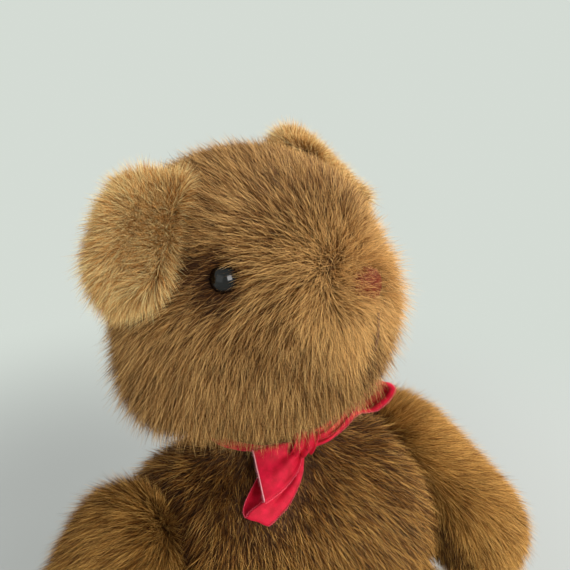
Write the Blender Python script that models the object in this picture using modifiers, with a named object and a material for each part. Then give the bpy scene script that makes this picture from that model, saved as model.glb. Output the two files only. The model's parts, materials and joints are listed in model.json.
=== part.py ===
# Jointed teddy bear, sitting. Metres, +Z up. The bear faces -Y and its left side is +X.
# The origin is on the surface that it sits on, under the middle of the neck.
import math

import bmesh
import bpy
import numpy as np
from mathutils import Matrix, Vector

# Fabric, fits and gaps
CLOTH = 0.0025            # backing of the plush with the roots of its pile
GAP = 0.0003              # left between pieces that touch
BLEND = 0.006             # how softly one swelling runs into the next
BODY_RINGS = (22, 18)     # facets round a form and along it
HEAD_RINGS = (24, 18)
ARM_RINGS = (18, 14)
LEG_RINGS = (18, 18)

# Body: swellings as (centre, half sizes)
NECK_HEIGHT = 0.190       # where the head turns on the body
NECK_LEAN = (-0.0513, 0.0339, 1)   # the soft neck lets the head lean back and to its right
BELLY = ((0, -0.010, 0.058), (0.082, 0.073, 0.072))
CHEST = ((0, -0.011, 0.112), (0.076, 0.069, 0.062))
SHOULDER = ((0.041, -0.006, 0.130), (0.043, 0.053, 0.046))
NECK = ((0, 0, 0.171), (0.032, 0.032, 0.032))

# Head, measured from the middle of the neck joint
SKULL = ((0, 0.011, 0.071), (0.064, 0.059, 0.059))
JOWL = ((0, 0.005, 0.046), (0.054, 0.056, 0.0515))
CHEEK = ((0.026, 0.016, 0.036), (0.033, 0.034, 0.029))
MUZZLE = ((0, -0.037, 0.069), (0.034, 0.030, 0.029))
CHIN = ((0, -0.032, 0.049), (0.029, 0.026, 0.023))
BROW = ((0, -0.016, 0.098), (0.034, 0.032, 0.024))
HEAD_TURN = math.radians(13.5)

# Arms, measured from the middle of the shoulder joint: along the arm, forwards, outwards
SHOULDER_TILT = math.radians(16)   # how far the shoulder disc faces up
SHOULDER_RISE = -0.002            # joint's place on its seat, up from the middle
SHOULDER_CUT = 0.016               # how deep the flat of a limb's seat is cut
UPPER_ARM = ((0.004, 0, 0.016), (0.034, 0.032, 0.023))
FOREARM = ((0.038, 0.003, 0.020), (0.034, 0.029, 0.024))
PAW = ((0.059, 0.009, 0.021), (0.025, 0.027, 0.024))
ARM_SWING = {"right": math.radians(-18), "left": math.radians(44)}

# Legs, measured from the middle of the hip joint: along the leg, up, outwards
HIP_HEIGHT = 0.035
HIP_SPLAY = math.radians(14)
HIP_LEAN = math.radians(9)         # how far the hip disc faces down
HIP_CUT = 0.013
THIGH = ((0.002, 0, 0.018), (0.031, 0.0245, 0.024))
CALF = ((0.052, -0.005, 0.023), (0.046, 0.0245, 0.025))
HEEL = ((0.104, -0.005, 0.025), (0.025, 0.0245, 0.025))
TOE = ((0.101, 0.014, 0.025), (0.027, 0.0255, 0.024))
SOLE_REACH = 0.119        # hip joint to the flat of the sole
SOLE_SIZE = (0.037, 0.0205)
SOLE_RISE = 0.002
SOLE_THICKNESS = 0.0016

# Disc joint sets
JOINT_SIDES = 14
STEM = 0.0032             # radius of the ribbed stem
STEM_RIBS = 3
RIB = 0.0005
RIB_PITCH = 0.0016
DISC_THICKNESS = 0.0028
WASHER_THICKNESS = 0.0018
LOCK_THICKNESS = 0.0022
LOCK_RADIUS = 0.0085
NECK_DISC = 0.0180
ARM_DISC = 0.0130
LEG_DISC = 0.0135

# Face
EYE_RADIUS = 0.0062
EYE_DOME = 0.0042
EYE_STEM = 0.0019
EYE_STEM_LENGTH = 0.012
EYE_WASHER = (0.0070, 0.0014)
EYE_WASHER_SEAT = 0.0024  # below the cloth, which curves away from the flat washer
EYE_ROOM_TOP = 0.002      # above the cloth, so that the washer's room opens the filling
EYE_DIRECTION = (0.73, -0.59, 0.325)
NOSE_SIZE = (0.0105, 0.0090, 0.0050)
NOSE_RISE = math.radians(26)
MOUTH_FALL = math.radians(30)
THREAD = 0.0007

# Ears, in the head's frame: middle, where the tip points, where the hollow side looks
EAR_PLACE = (0.0555, 0.0130, 0.1035)
EAR_TIP = (0.691, 0.585, 0.423)
EAR_FACING = (0.329, -0.777, 0.537)
EAR_SIZE = (0.0295, 0.0195, 0.0085)  # half width, half height, half thickness
EAR_SQUARE = 2.8          # 2 is an ellipse, more is squarer
EAR_CUP = 0.006

# Ribbon
RIBBON_WIDTH = 0.025
RIBBON_THICKNESS = 0.0012
BAND_TOP = 0.187
BAND_DROP = 0.010
BAND_LIFT = 0.0010        # off the cloth, which is coarser than the band
KNOT_SIZE = (0.0080, 0.0060, 0.0080)
KNOT_DROP = 0.0024        # below the band's top edge
KNOT_ANGLE = math.radians(-5)
BAND_STEPS = 28
NECK_GIRTH = 0.045        # radius at which the ribbon's width is laid off
CHEST_FALL = 0.6          # height lost for each length laid down the chest
FALL_ANGLES = (KNOT_ANGLE, math.radians(-31))
FALL_HEIGHTS = (0.188, 0.173)
FALL_LIFT = (0.0038, 0.0083)
TAIL_ANGLES = (KNOT_ANGLE, math.radians(-42))
TAIL_SLANT = math.radians(-7)      # its cut end leans away from the knot at the top
TAIL_HEIGHTS = (0.188, 0.180)
TAIL_LIFT = 0.0113
LOOP_LENGTH = 0.037
LOOP_HEIGHT = 0.011
LOOP_DIRECTION = (0.84, -0.36, 0.20)
LOOP_ACROSS = (-0.30, -0.90, -0.10)

PLUSH = ("plush", (0.305, 0.156, 0.061, 1), 0.95, 0.0)
EAR_PLUSH = ("ear_plush", (0.480, 0.260, 0.098, 1), 0.95, 0.0)
SUEDE = ("sole_suede", (0.520, 0.340, 0.180, 1), 0.9, 0.0)
FILLING = ("filling", (0.85, 0.84, 0.80, 1), 1.0, 0.0)
JOINT_PLASTIC = ("joint_plastic", (0.82, 0.82, 0.78, 1), 0.4, 0.0)
EYE_PLASTIC = ("eye_plastic", (0.006, 0.005, 0.005, 1), 0.06, 0.0)
NOSE_THREAD = ("nose_thread", (0.180, 0.030, 0.018, 1), 0.7, 0.0)
RIBBON = ("ribbon", (0.680, 0.012, 0.045, 1), 0.45, 0.0)
STEEL = ("washer_steel", (0.62, 0.62, 0.62, 1), 0.3, 1.0)


def clearScene():
    for obj in list(bpy.data.objects):
        bpy.data.objects.remove(obj, do_unlink=True)


def newCollection(name):
    collection = bpy.data.collections.new(name)
    bpy.context.scene.collection.children.link(collection)
    return collection


def material(look):
    name, colour, roughness, metallic = look
    found = bpy.data.materials.get(name)
    if found:
        return found
    made = bpy.data.materials.new(name)
    made.use_nodes = True
    shader = made.node_tree.nodes["Principled BSDF"]
    shader.inputs["Base Color"].default_value = colour
    shader.inputs["Roughness"].default_value = roughness
    shader.inputs["Metallic"].default_value = metallic
    return made


def addPiece(name, mesh, look, parent):
    piece = bpy.data.objects.new(name, mesh)
    bear.objects.link(piece)
    mesh.materials.append(material(look))
    mesh.shade_smooth()
    mesh.set_sharp_from_angle(angle=math.radians(40))
    piece.parent = parent
    return piece


def addCutter(name, mesh, parent):
    cutter = bpy.data.objects.new(name, mesh)
    cutters.objects.link(cutter)
    cutter.hide_render = True
    cutter.display_type = "WIRE"
    cutter.parent = parent
    return cutter


def cut(piece, cutter):
    boolean = piece.modifiers.new("cut_" + cutter.name, "BOOLEAN")
    boolean.operation = "DIFFERENCE"
    boolean.object = cutter


def addAxis(name, place, outward, hanging):
    # An empty whose Z is the joint's axis and whose X is where the limb points before it swings.
    outward = Vector(outward).normalized()
    hanging = (Vector(hanging) - outward * outward.dot(Vector(hanging))).normalized()
    across = outward.cross(hanging)
    axis = bpy.data.objects.new(name, None)
    bear.objects.link(axis)
    turn = Matrix((hanging, across, outward)).transposed().to_4x4()
    axis.matrix_world = Matrix.Translation(place) @ turn
    return axis


# Soft forms: swellings that blend into each other


def softness(points, lumps):
    # How far each point lies outside the blended swellings, in metres.
    total = np.zeros(len(points))
    for centre, sizes in lumps:
        scaled = np.linalg.norm((points - np.array(centre)) / np.array(sizes), axis=1)
        total += np.exp(-(scaled - 1) * min(sizes) / BLEND)
    return -BLEND * np.log(total)


def castOnto(origins, directions, lumps, grow):
    low = np.zeros(len(origins))
    high = np.full(len(origins), 0.25)
    for _ in range(32):
        middle = (low + high) / 2
        inside = softness(origins + directions * middle[:, None], lumps) < grow
        low = np.where(inside, middle, low)
        high = np.where(inside, high, middle)
    return origins + directions * low[:, None]


def surfacePoint(centre, direction, lumps, grow=0.0):
    ray = np.array([Vector(direction).normalized()])
    return Vector(castOnto(np.array([centre], float), ray, lumps, grow)[0])


def surfaceNormal(point, lumps):
    step = 1e-4
    around = np.array([np.array(point) + step * sign * side
                       for side in np.eye(3) for sign in (1, -1)])
    values = softness(around, lumps)
    return Vector(values[0::2] - values[1::2]).normalized()


def softMesh(name, lumps, spine, rings, grow=0.0, flats=()):
    # A sphere is drawn out along its spine and pushed outwards until it meets the swellings.
    # Each flat is (point on it, direction that it faces) and slices the form straight.
    start, end = (np.array(p, float) for p in spine)
    along = Vector(end - start)
    axis = along.normalized()
    form = bmesh.new()
    bmesh.ops.create_uvsphere(form, u_segments=rings[0], v_segments=rings[1], radius=1)
    bmesh.ops.triangulate(form, faces=form.faces)
    upright = Vector((0, 0, 1)).rotation_difference(axis).to_matrix()
    bmesh.ops.rotate(form, verts=form.verts, matrix=upright)
    rays = np.array([v.co.normalized() for v in form.verts])
    share = 0.5 + 0.5 * rays @ np.array(axis)
    origins = start + share[:, None] * (end - start)
    for vertex, place in zip(form.verts, castOnto(origins, rays, lumps, grow)):
        vertex.co = place
    for point, facing in flats:
        facing = Vector(facing).normalized()
        plane = Vector(point) + facing * grow
        everything = form.verts[:] + form.edges[:] + form.faces[:]
        sliced = bmesh.ops.bisect_plane(form, geom=everything, dist=1e-6, plane_co=plane,
                                        plane_no=facing, clear_outer=True)
        rim = [e for e in sliced["geom_cut"] if isinstance(e, bmesh.types.BMEdge)]
        bmesh.ops.edgenet_fill(form, edges=rim)
    bmesh.ops.recalc_face_normals(form, faces=form.faces)
    mesh = bpy.data.meshes.new(name)
    form.to_mesh(mesh)
    form.free()
    return mesh


def stuffedCover(name, lumps, spine, rings, flats, parent):
    # A cloth cover and the filling inside it. The caller cuts their holes.
    coarse = (rings[0] * 2 // 3, rings[1] * 2 // 3)
    cover = addPiece(name + "_cover", softMesh(name, lumps, spine, rings, 0, flats), PLUSH, parent)
    hollow = softMesh(name + "_hollow", lumps, spine, coarse, -CLOTH, flats)
    cut(cover, addCutter(name + "_hollow", hollow, parent))
    inner = softMesh(name + "_stuffing", lumps, spine, coarse, -CLOTH - GAP, flats)
    return cover, addPiece(name + "_stuffing", inner, FILLING, parent)


# Turned and plain pieces


def rodMesh(name, radius, low, high, sides=JOINT_SIDES):
    rod = bmesh.new()
    bmesh.ops.create_cone(rod, cap_ends=True, segments=sides, radius1=radius, radius2=radius,
                          depth=high - low)
    bmesh.ops.translate(rod, verts=rod.verts, vec=(0, 0, (low + high) / 2))
    mesh = bpy.data.meshes.new(name)
    rod.to_mesh(mesh)
    rod.free()
    return mesh


def turnedPiece(name, profile, look, parent, sides=JOINT_SIDES, closed=False):
    # The profile runs from top to bottom down the outer side, as (radius, height).
    mesh = bpy.data.meshes.new(name)
    corners = [(radius, 0, height) for radius, height in profile]
    edges = [(i, i + 1) for i in range(len(corners) - 1)]
    if closed:
        edges.append((len(corners) - 1, 0))
    mesh.from_pydata(corners, edges, [])
    piece = addPiece(name, mesh, look, parent)
    screw = piece.modifiers.new("turn", "SCREW")
    screw.steps = sides
    screw.render_steps = sides
    screw.use_merge_vertices = True
    screw.merge_threshold = 0.00001
    return piece


def ringPiece(name, bore, radius, low, high, look, parent):
    profile = [(bore, high), (radius, high), (radius, low), (bore, low)]
    return turnedPiece(name, profile, look, parent, closed=True)


def jointSet(name, limbAxis, bodyAxis, discRadius, limbPieces, bodyPieces):
    # A disc in the limb carries a ribbed stem through both cloths, a washer and a lock ring.
    seat = GAP / 2 + CLOTH + GAP
    discTop = seat + DISC_THICKNESS
    washerLow = -seat - WASHER_THICKNESS
    lockHigh = washerLow - GAP
    lockLow = lockHigh - LOCK_THICKNESS
    stemEnd = lockLow - STEM_RIBS * RIB_PITCH / 2
    bore = STEM + RIB + GAP
    profile = [(0, discTop + DISC_THICKNESS / 2),
               (discRadius * 0.45, discTop + DISC_THICKNESS / 3),
               (discRadius * 0.9, discTop - DISC_THICKNESS / 4),
               (discRadius, seat + DISC_THICKNESS / 3),
               (discRadius, seat),
               (STEM, seat)]
    for rib in range(STEM_RIBS):
        top = stemEnd + (STEM_RIBS - rib) * RIB_PITCH
        profile += [(STEM, top), (STEM + RIB, top - RIB_PITCH / 8), (STEM, top - RIB_PITCH * 0.9)]
    profile += [(STEM * 0.7, stemEnd - RIB_PITCH), (0, stemEnd - RIB_PITCH)]
    turnedPiece(name + "_disc", profile, JOINT_PLASTIC, limbAxis)
    ringPiece(name + "_washer", bore, discRadius, washerLow, -seat, JOINT_PLASTIC, bodyAxis)
    ringPiece(name + "_lock", bore, LOCK_RADIUS, lockLow, lockHigh, STEEL, limbAxis)
    outside = seat + DISC_THICKNESS
    limbCover, limbStuffing = limbPieces
    bodyCover, bodyStuffing = bodyPieces
    hole = rodMesh("hole", bore, -outside, outside)
    cut(limbCover, addCutter(name + "_limb_hole", hole, limbAxis))
    cut(bodyCover, addCutter(name + "_body_hole", hole, bodyAxis))
    domeTop = discTop + DISC_THICKNESS / 2 + GAP
    pocket = (discRadius + GAP) / math.cos(math.pi / JOINT_SIDES)
    discRoom = rodMesh("disc_room", pocket, -seat, domeTop)
    cut(limbStuffing, addCutter(name + "_disc_room", discRoom, limbAxis))
    lockRoom = rodMesh("lock_room", pocket, stemEnd - RIB_PITCH - GAP, seat)
    cut(bodyStuffing, addCutter(name + "_lock_room", lockRoom, bodyAxis))


# The bear's parts


def seatOn(lump, facing, depth):
    # The middle of the flat that is cut into a swelling, square to the direction it faces.
    centre, sizes = (Vector(v) for v in lump)
    facing = Vector(facing).normalized()
    scaled = Vector([f * s for f, s in zip(facing, sizes)])
    touch = Vector([f * s * s for f, s in zip(facing, sizes)]) / scaled.length
    return centre + touch - facing * depth


def sided(vector, side):
    return Vector((vector[0] * side, vector[1], vector[2]))


def mirrored(lump):
    centre, sizes = lump
    return [(tuple(sided(centre, side)), sizes) for side in (1, -1)]


def shoulderSeat(side):
    facing = sided((math.cos(SHOULDER_TILT), 0, math.sin(SHOULDER_TILT)), side)
    up = sided((-math.sin(SHOULDER_TILT), 0, math.cos(SHOULDER_TILT)), side)
    lump = (sided(SHOULDER[0], side), SHOULDER[1])
    return seatOn(lump, facing, SHOULDER_CUT) + up * SHOULDER_RISE, facing


def hipSeat(side):
    level = Vector((math.cos(HIP_SPLAY), math.sin(HIP_SPLAY), 0)) * math.cos(HIP_LEAN)
    facing = sided((level.x, level.y, -math.sin(HIP_LEAN)), side)
    middle = seatOn(BELLY, facing, HIP_CUT)
    downhill = Vector((0, 0, -1)) + facing * facing.z
    return middle + downhill * (HIP_HEIGHT - middle.z) / downhill.z, facing


def makeBody():
    neckUp = Vector(NECK_LEAN).normalized()
    neckPlace = Vector((0, 0, NECK_HEIGHT))
    flats = [((0, 0, 0), (0, 0, -1)), (neckPlace - neckUp * GAP / 2, neckUp)]
    for side in (1, -1):
        for place, facing in (shoulderSeat(side), hipSeat(side)):
            flats.append((place - facing * GAP / 2, facing))
    spine = ((0, 0, 0.045), (0, 0, 0.135))
    return stuffedCover("body", BODY_LUMPS, spine, BODY_RINGS, flats, None)


def limbLumps(lumps, side):
    # In a joint's own frame X runs along the limb, Z outwards, and Y forwards or up.
    return [((along, -side * over, out), sizes) for (along, over, out), sizes in lumps]


def makeArm(name, side, body):
    place, facing = shoulderSeat(side)
    hanging = sided((math.sin(SHOULDER_TILT), 0, -math.cos(SHOULDER_TILT)), side)
    bodyAxis = addAxis("shoulder_seat_" + name, place, facing, hanging)
    swing = Matrix.Rotation(-side * ARM_SWING[name], 3, facing)
    limbAxis = addAxis("shoulder_axis_" + name, place, facing, swing @ hanging)
    lumps = limbLumps((UPPER_ARM, FOREARM, PAW), side)
    spine = ((0.006, 0, 0.018), (0.070, 0, 0.020))
    flats = [((0, 0, GAP / 2), (0, 0, -1))]
    arm = stuffedCover("arm_" + name, lumps, spine, ARM_RINGS, flats, limbAxis)
    jointSet("shoulder_" + name, limbAxis, bodyAxis, ARM_DISC, arm, body)


def makeLeg(name, side, body):
    place, facing = hipSeat(side)
    forward = sided((math.sin(HIP_SPLAY), -math.cos(HIP_SPLAY), 0), side)
    hipAxis = addAxis("hip_axis_" + name, place, facing, forward)
    lumps = limbLumps((THIGH, CALF, HEEL, TOE), side)
    spine = ((0.006, 0, 0.020), (0.098, -side * 0.006, 0.025))
    flats = [((0, 0, GAP / 2), (0, 0, -1)), ((SOLE_REACH, 0, 0), (1, 0, 0))]
    leg = stuffedCover("leg_" + name, lumps, spine, LEG_RINGS, flats, hipAxis)
    jointSet("hip_" + name, hipAxis, hipAxis, LEG_DISC, leg, body)
    pad = rodMesh("sole_" + name, 1, SOLE_REACH + GAP, SOLE_REACH + GAP + SOLE_THICKNESS, 28)
    turn = Matrix(((0, 0, 1), (-side * SOLE_SIZE[0], 0, 0), (0, SOLE_SIZE[1] * -side, 0))).to_4x4()
    middle = Vector((0, -side * SOLE_RISE, HEEL[0][2]))
    pad.transform(Matrix.Translation(middle) @ turn)
    addPiece("sole_" + name, pad, SUEDE, hipAxis)


def localFrame(point, normal, up=(0, 0, 1)):
    # Z looks along the normal and Y is as near to up as it can be.
    normal = Vector(normal).normalized()
    across = Vector(up).cross(normal).normalized()
    upward = normal.cross(across)
    return Matrix.Translation(point) @ Matrix((across, upward, normal)).transposed().to_4x4()


def makeEye(name, side, head, neckAxis):
    cover, stuffing = head
    point = surfacePoint(SKULL[0], sided(EYE_DIRECTION, side), HEAD_LUMPS)
    normal = surfaceNormal(point, HEAD_LUMPS)
    frame = localFrame(point, normal)
    sink = CLOTH / 2
    dome = [(0, EYE_DOME - sink), (EYE_RADIUS * 0.4, EYE_DOME * 0.92 - sink),
            (EYE_RADIUS * 0.75, EYE_DOME * 0.62 - sink), (EYE_RADIUS * 0.96, EYE_DOME * 0.22 - sink),
            (EYE_RADIUS, GAP - sink), (EYE_STEM, GAP - sink),
            (EYE_STEM, -EYE_STEM_LENGTH), (0, -EYE_STEM_LENGTH)]
    eye = turnedPiece("eye_" + name, dome, EYE_PLASTIC, neckAxis, 18)
    washerTop = -CLOTH - EYE_WASHER_SEAT
    washer = ringPiece("eye_washer_" + name, EYE_STEM + GAP, EYE_WASHER[0],
                       washerTop - EYE_WASHER[1], washerTop, STEEL, neckAxis)
    socketShape = rodMesh("socket", EYE_RADIUS + GAP, -sink, 2 * EYE_DOME)
    socket = addCutter("eye_socket_" + name, socketShape, neckAxis)
    holeShape = rodMesh("hole", EYE_STEM + GAP, -EYE_STEM_LENGTH, GAP, 12)
    hole = addCutter("eye_hole_" + name, holeShape, neckAxis)
    roomShape = rodMesh("room", EYE_WASHER[0] + GAP, -EYE_STEM_LENGTH - GAP, EYE_ROOM_TOP)
    room = addCutter("eye_room_" + name, roomShape, neckAxis)
    for piece in (eye, washer, socket, hole, room):
        piece.matrix_local = frame
    cut(cover, socket)
    cut(cover, hole)
    cut(stuffing, room)


def grownHead(neckAxis):
    mesh = softMesh("head_clearance", HEAD_LUMPS, HEAD_SPINE, HEAD_RINGS, GAP)
    return addCutter("head_clearance", mesh, neckAxis)


def makeEar(name, side, clearance, neckAxis):
    shape = bmesh.new()
    bmesh.ops.create_uvsphere(shape, u_segments=18, v_segments=10, radius=1)
    for vertex in shape.verts:
        across, high, thick = vertex.co
        reach = math.hypot(across, high)
        squared = (abs(across) ** EAR_SQUARE + abs(high) ** EAR_SQUARE) ** (1 / EAR_SQUARE)
        stretch = reach / max(squared, 1e-9)
        vertex.co = (across * EAR_SIZE[0] * stretch, high * EAR_SIZE[1] * stretch,
                     thick * EAR_SIZE[2] + EAR_CUP * (across * across + max(0, high) ** 2) / 2)
    mesh = bpy.data.meshes.new("ear_" + name)
    shape.to_mesh(mesh)
    shape.free()
    mesh.transform(localFrame(sided(EAR_PLACE, side), sided(EAR_FACING, side), sided(EAR_TIP, side)))
    ear = addPiece("ear_" + name, mesh, EAR_PLUSH, neckAxis)
    cut(ear, clearance)


def makeNose(clearance, neckAxis):
    rise = (0, -math.cos(NOSE_RISE), math.sin(NOSE_RISE))
    point = surfacePoint(MUZZLE[0], rise, HEAD_LUMPS)
    pad = bmesh.new()
    bmesh.ops.create_uvsphere(pad, u_segments=14, v_segments=8, radius=1)
    for vertex in pad.verts:
        narrow = 1 + 0.22 * vertex.co.y    # wider across its top
        vertex.co = (vertex.co.x * NOSE_SIZE[0] * narrow, vertex.co.y * NOSE_SIZE[1],
                     vertex.co.z * NOSE_SIZE[2])
    mesh = bpy.data.meshes.new("nose")
    pad.to_mesh(mesh)
    pad.free()
    mesh.transform(localFrame(point, surfaceNormal(point, HEAD_LUMPS)))
    cut(addPiece("nose", mesh, NOSE_THREAD, neckAxis), clearance)


def makeMouth(neckAxis):
    # One thread that runs down from the nose to the lips.
    steps = 9
    start = NOSE_RISE - NOSE_SIZE[1] / MUZZLE[1][2] - math.radians(6)
    angles = np.linspace(start, -MOUTH_FALL, steps)
    strand = bpy.data.curves.new("mouth", "CURVE")
    strand.dimensions = "3D"
    strand.bevel_depth = THREAD
    strand.bevel_resolution = 2
    strand.use_fill_caps = True
    line = strand.splines.new("POLY")
    line.points.add(steps - 1)
    for point, angle in zip(line.points, angles):
        direction = (0, -math.cos(angle), math.sin(angle))
        lifted = surfacePoint(MUZZLE[0], direction, HEAD_LUMPS, THREAD + 2 * GAP)
        point.co = (*lifted, 1)
    mouth = bpy.data.objects.new("mouth", strand)
    bear.objects.link(mouth)
    strand.materials.append(material(NOSE_THREAD))
    mouth.parent = neckAxis


def makeHead(body):
    neckPlace = Vector((0, 0, NECK_HEIGHT))
    bodyAxis = addAxis("neck_seat", neckPlace, NECK_LEAN, (1, 0, 0))
    turned = (math.cos(HEAD_TURN), math.sin(HEAD_TURN), 0)
    neckAxis = addAxis("neck_axis", neckPlace, NECK_LEAN, turned)
    flats = [((0, 0, GAP / 2), (0, 0, -1))]
    head = stuffedCover("head", HEAD_LUMPS, HEAD_SPINE, HEAD_RINGS, flats, neckAxis)
    jointSet("neck", neckAxis, bodyAxis, NECK_DISC, head, body)
    clearance = grownHead(neckAxis)
    for name, side in SIDES:
        makeEye(name, side, head, neckAxis)
        makeEar(name, side, clearance, neckAxis)
    makeNose(clearance, neckAxis)
    makeMouth(neckAxis)


# Ribbon: strips of one width, laid on the chest and cut where they enter the knot


def onBody(angle, height, lift):
    # A point on the body at this compass angle (0 is the front) and height, lifted off the cloth.
    direction = (math.sin(angle), -math.cos(angle), 0)
    return surfacePoint((0, 0, height), direction, BODY_LUMPS, lift)


def stripPiece(name, rows, closed=False):
    # Rows of points across the strip, thickened on the side that their faces look to.
    across = len(rows[0])
    corners = [point for row in rows for point in row]
    quads = []
    for i in range(len(rows) if closed else len(rows) - 1):
        for j in range(across - 1):
            a, b = i * across + j, (i + 1) % len(rows) * across + j
            quads.append((a, b, b + 1, a + 1))
    mesh = bpy.data.meshes.new(name)
    mesh.from_pydata(corners, [], quads)
    strip = addPiece(name, mesh, RIBBON, None)
    wall = strip.modifiers.new("thickness", "SOLIDIFY")
    wall.thickness = RIBBON_THICKNESS
    wall.offset = 1
    return strip


def makeBand():
    rows = []
    for i in range(BAND_STEPS):
        angle = 2 * math.pi * i / BAND_STEPS
        rows.append([onBody(angle, BAND_TOP - drop, BAND_LIFT) for drop in (BAND_DROP, 0)])
    stripPiece("ribbon_band", rows, closed=True)


def ballMesh(name, sizes, centre, rings):
    ball = bmesh.new()
    bmesh.ops.create_uvsphere(ball, u_segments=rings[0], v_segments=rings[1], radius=1)
    bmesh.ops.scale(ball, verts=ball.verts, vec=sizes)
    bmesh.ops.translate(ball, verts=ball.verts, vec=centre)
    mesh = bpy.data.meshes.new(name)
    ball.to_mesh(mesh)
    ball.free()
    return mesh


def makeKnot():
    lift = 3 * GAP + RIBBON_THICKNESS + KNOT_SIZE[1]
    centre = onBody(KNOT_ANGLE, BAND_TOP - KNOT_DROP, lift)
    addPiece("ribbon_knot", ballMesh("ribbon_knot", KNOT_SIZE, centre, (14, 9)), RIBBON, None)
    grown = [size + GAP for size in KNOT_SIZE]
    return centre, addCutter("knot_clearance", ballMesh("knot_clearance", grown, centre, (14, 9)), None)


def makeHangingLoop(clearance):
    # Down the chest against the cloth, round a fold, and back up to the knot in front.
    low, high = FALL_LIFT
    fold = (high - low) / 2
    path = [(share, low) for share in (0, 0.3, 0.6, 0.85)]
    path += [(1, low + fold * (1 - math.cos(turn))) for turn in (0.4, 1.2, 2.0, 2.8)]
    path += [(share, high) for share in (0.85, 0.6, 0.3, 0)]
    rows = []
    for share, lift in path:
        angle = FALL_ANGLES[0] + (FALL_ANGLES[1] - FALL_ANGLES[0]) * share
        height = FALL_HEIGHTS[0] + (FALL_HEIGHTS[1] - FALL_HEIGHTS[0]) * share
        half = RIBBON_WIDTH / 2 * (0.3 + 0.6 * share)
        slant = half * CHEST_FALL * share
        rows.append([onBody(angle - side * half / NECK_GIRTH, height + side * slant, lift)
                     for side in (-1, 0, 1)])
    cut(stripPiece("ribbon_fall", rows), clearance)


def makeTail(clearance):
    # A short end across the front of the hanging loop, opening out to its full width.
    rows = []
    for i in range(6):
        share = i / 5
        angle = TAIL_ANGLES[0] + (TAIL_ANGLES[1] - TAIL_ANGLES[0]) * share
        half = RIBBON_WIDTH / 2 * (0.3 + 0.7 * share)
        middle = TAIL_HEIGHTS[0] + (TAIL_HEIGHTS[1] - TAIL_HEIGHTS[0]) * share
        rows.append([onBody(angle + side * share * TAIL_SLANT, middle + side * half * CHEST_FALL, TAIL_LIFT)
                     for side in (1, 0, -1)])
    cut(stripPiece("ribbon_tail", rows), clearance)


def makeSideLoop(knot, clearance):
    # A loop that stands off to the bear's left: out, round its end and back.
    out = Vector(LOOP_DIRECTION).normalized()
    across = Vector(LOOP_ACROSS)
    across = (across - out * across.dot(out)).normalized()
    up = across.cross(out)
    straight = LOOP_LENGTH - LOOP_HEIGHT / 2
    path = [(straight * share, -LOOP_HEIGHT / 2 * share) for share in (0.08, 0.5, 1)]
    for turn in (-60, -30, 0, 30, 60):
        angle = math.radians(turn)
        path.append((straight + LOOP_HEIGHT / 2 * math.cos(angle), LOOP_HEIGHT / 2 * math.sin(angle)))
    path += [(straight * share, LOOP_HEIGHT / 2 * share) for share in (1, 0.5, 0.08)]
    rows = []
    for reach, rise in path:
        half = RIBBON_WIDTH / 2 * (0.35 + 0.45 * min(1, reach / straight))
        rows.append([knot + out * reach + up * rise + across * side * half for side in (-1, 0, 1)])
    cut(stripPiece("ribbon_loop", rows), clearance)


def makeRibbon():
    makeBand()
    knot, clearance = makeKnot()
    makeHangingLoop(clearance)
    makeTail(clearance)
    makeSideLoop(knot, clearance)


clearScene()
bear = newCollection("teddy_bear")
cutters = newCollection("cutters")
BODY_LUMPS = (BELLY, CHEST, *mirrored(SHOULDER), NECK)
HEAD_LUMPS = (SKULL, JOWL, *mirrored(CHEEK), MUZZLE, CHIN, BROW)
HEAD_SPINE = ((0, 0.018, 0.062), (0, -0.030, 0.068))
SIDES = (("right", -1), ("left", 1))
bodyPieces = makeBody()
for sideName, sideSign in SIDES:
    makeArm(sideName, sideSign, bodyPieces)
    makeLeg(sideName, sideSign, bodyPieces)
makeHead(bodyPieces)
makeRibbon()
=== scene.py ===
import json
import math

import bmesh
import bpy
import numpy as np
from mathutils import Matrix, Vector
from mathutils.bvhtree import BVHTree


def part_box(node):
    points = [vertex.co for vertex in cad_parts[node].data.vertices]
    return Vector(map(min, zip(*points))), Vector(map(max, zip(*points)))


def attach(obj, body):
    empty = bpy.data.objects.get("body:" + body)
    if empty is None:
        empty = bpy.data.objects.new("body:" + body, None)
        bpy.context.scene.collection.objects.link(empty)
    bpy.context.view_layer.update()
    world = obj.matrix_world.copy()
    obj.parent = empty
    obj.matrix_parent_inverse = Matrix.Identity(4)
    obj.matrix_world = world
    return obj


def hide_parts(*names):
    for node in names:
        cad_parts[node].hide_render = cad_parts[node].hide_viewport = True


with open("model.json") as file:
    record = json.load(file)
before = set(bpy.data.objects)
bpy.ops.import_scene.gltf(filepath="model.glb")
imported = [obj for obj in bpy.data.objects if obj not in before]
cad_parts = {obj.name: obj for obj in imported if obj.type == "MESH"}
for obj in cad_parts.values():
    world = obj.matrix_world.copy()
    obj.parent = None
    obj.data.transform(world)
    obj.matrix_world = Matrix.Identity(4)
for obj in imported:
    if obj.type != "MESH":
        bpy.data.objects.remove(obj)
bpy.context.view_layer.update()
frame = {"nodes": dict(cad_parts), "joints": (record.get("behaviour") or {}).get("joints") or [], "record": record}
joints = {joint["child"]: joint for joint in frame["joints"]}
print("frame loaded")


# Objects and meshes

def addObject(name, mesh):
    made = bpy.data.objects.new(name, mesh)
    bpy.context.scene.collection.objects.link(made)
    return made


def meshFrom(name, points, faces, edges=()):
    mesh = bpy.data.meshes.new(name)
    mesh.from_pydata([tuple(p) for p in points], list(edges), faces)
    mesh.update()
    return mesh


def settle(thing):
    # Applies the modifiers and leaves a plain mesh.
    graph = bpy.context.evaluated_depsgraph_get()
    graph.update()
    made = bpy.data.meshes.new_from_object(thing.evaluated_get(graph), depsgraph=graph)
    made.name = thing.name
    thing.modifiers.clear()
    thing.data = made
    return thing


def corners(mesh):
    return np.array([v.co for v in mesh.vertices], float).reshape(-1, 3)


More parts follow.
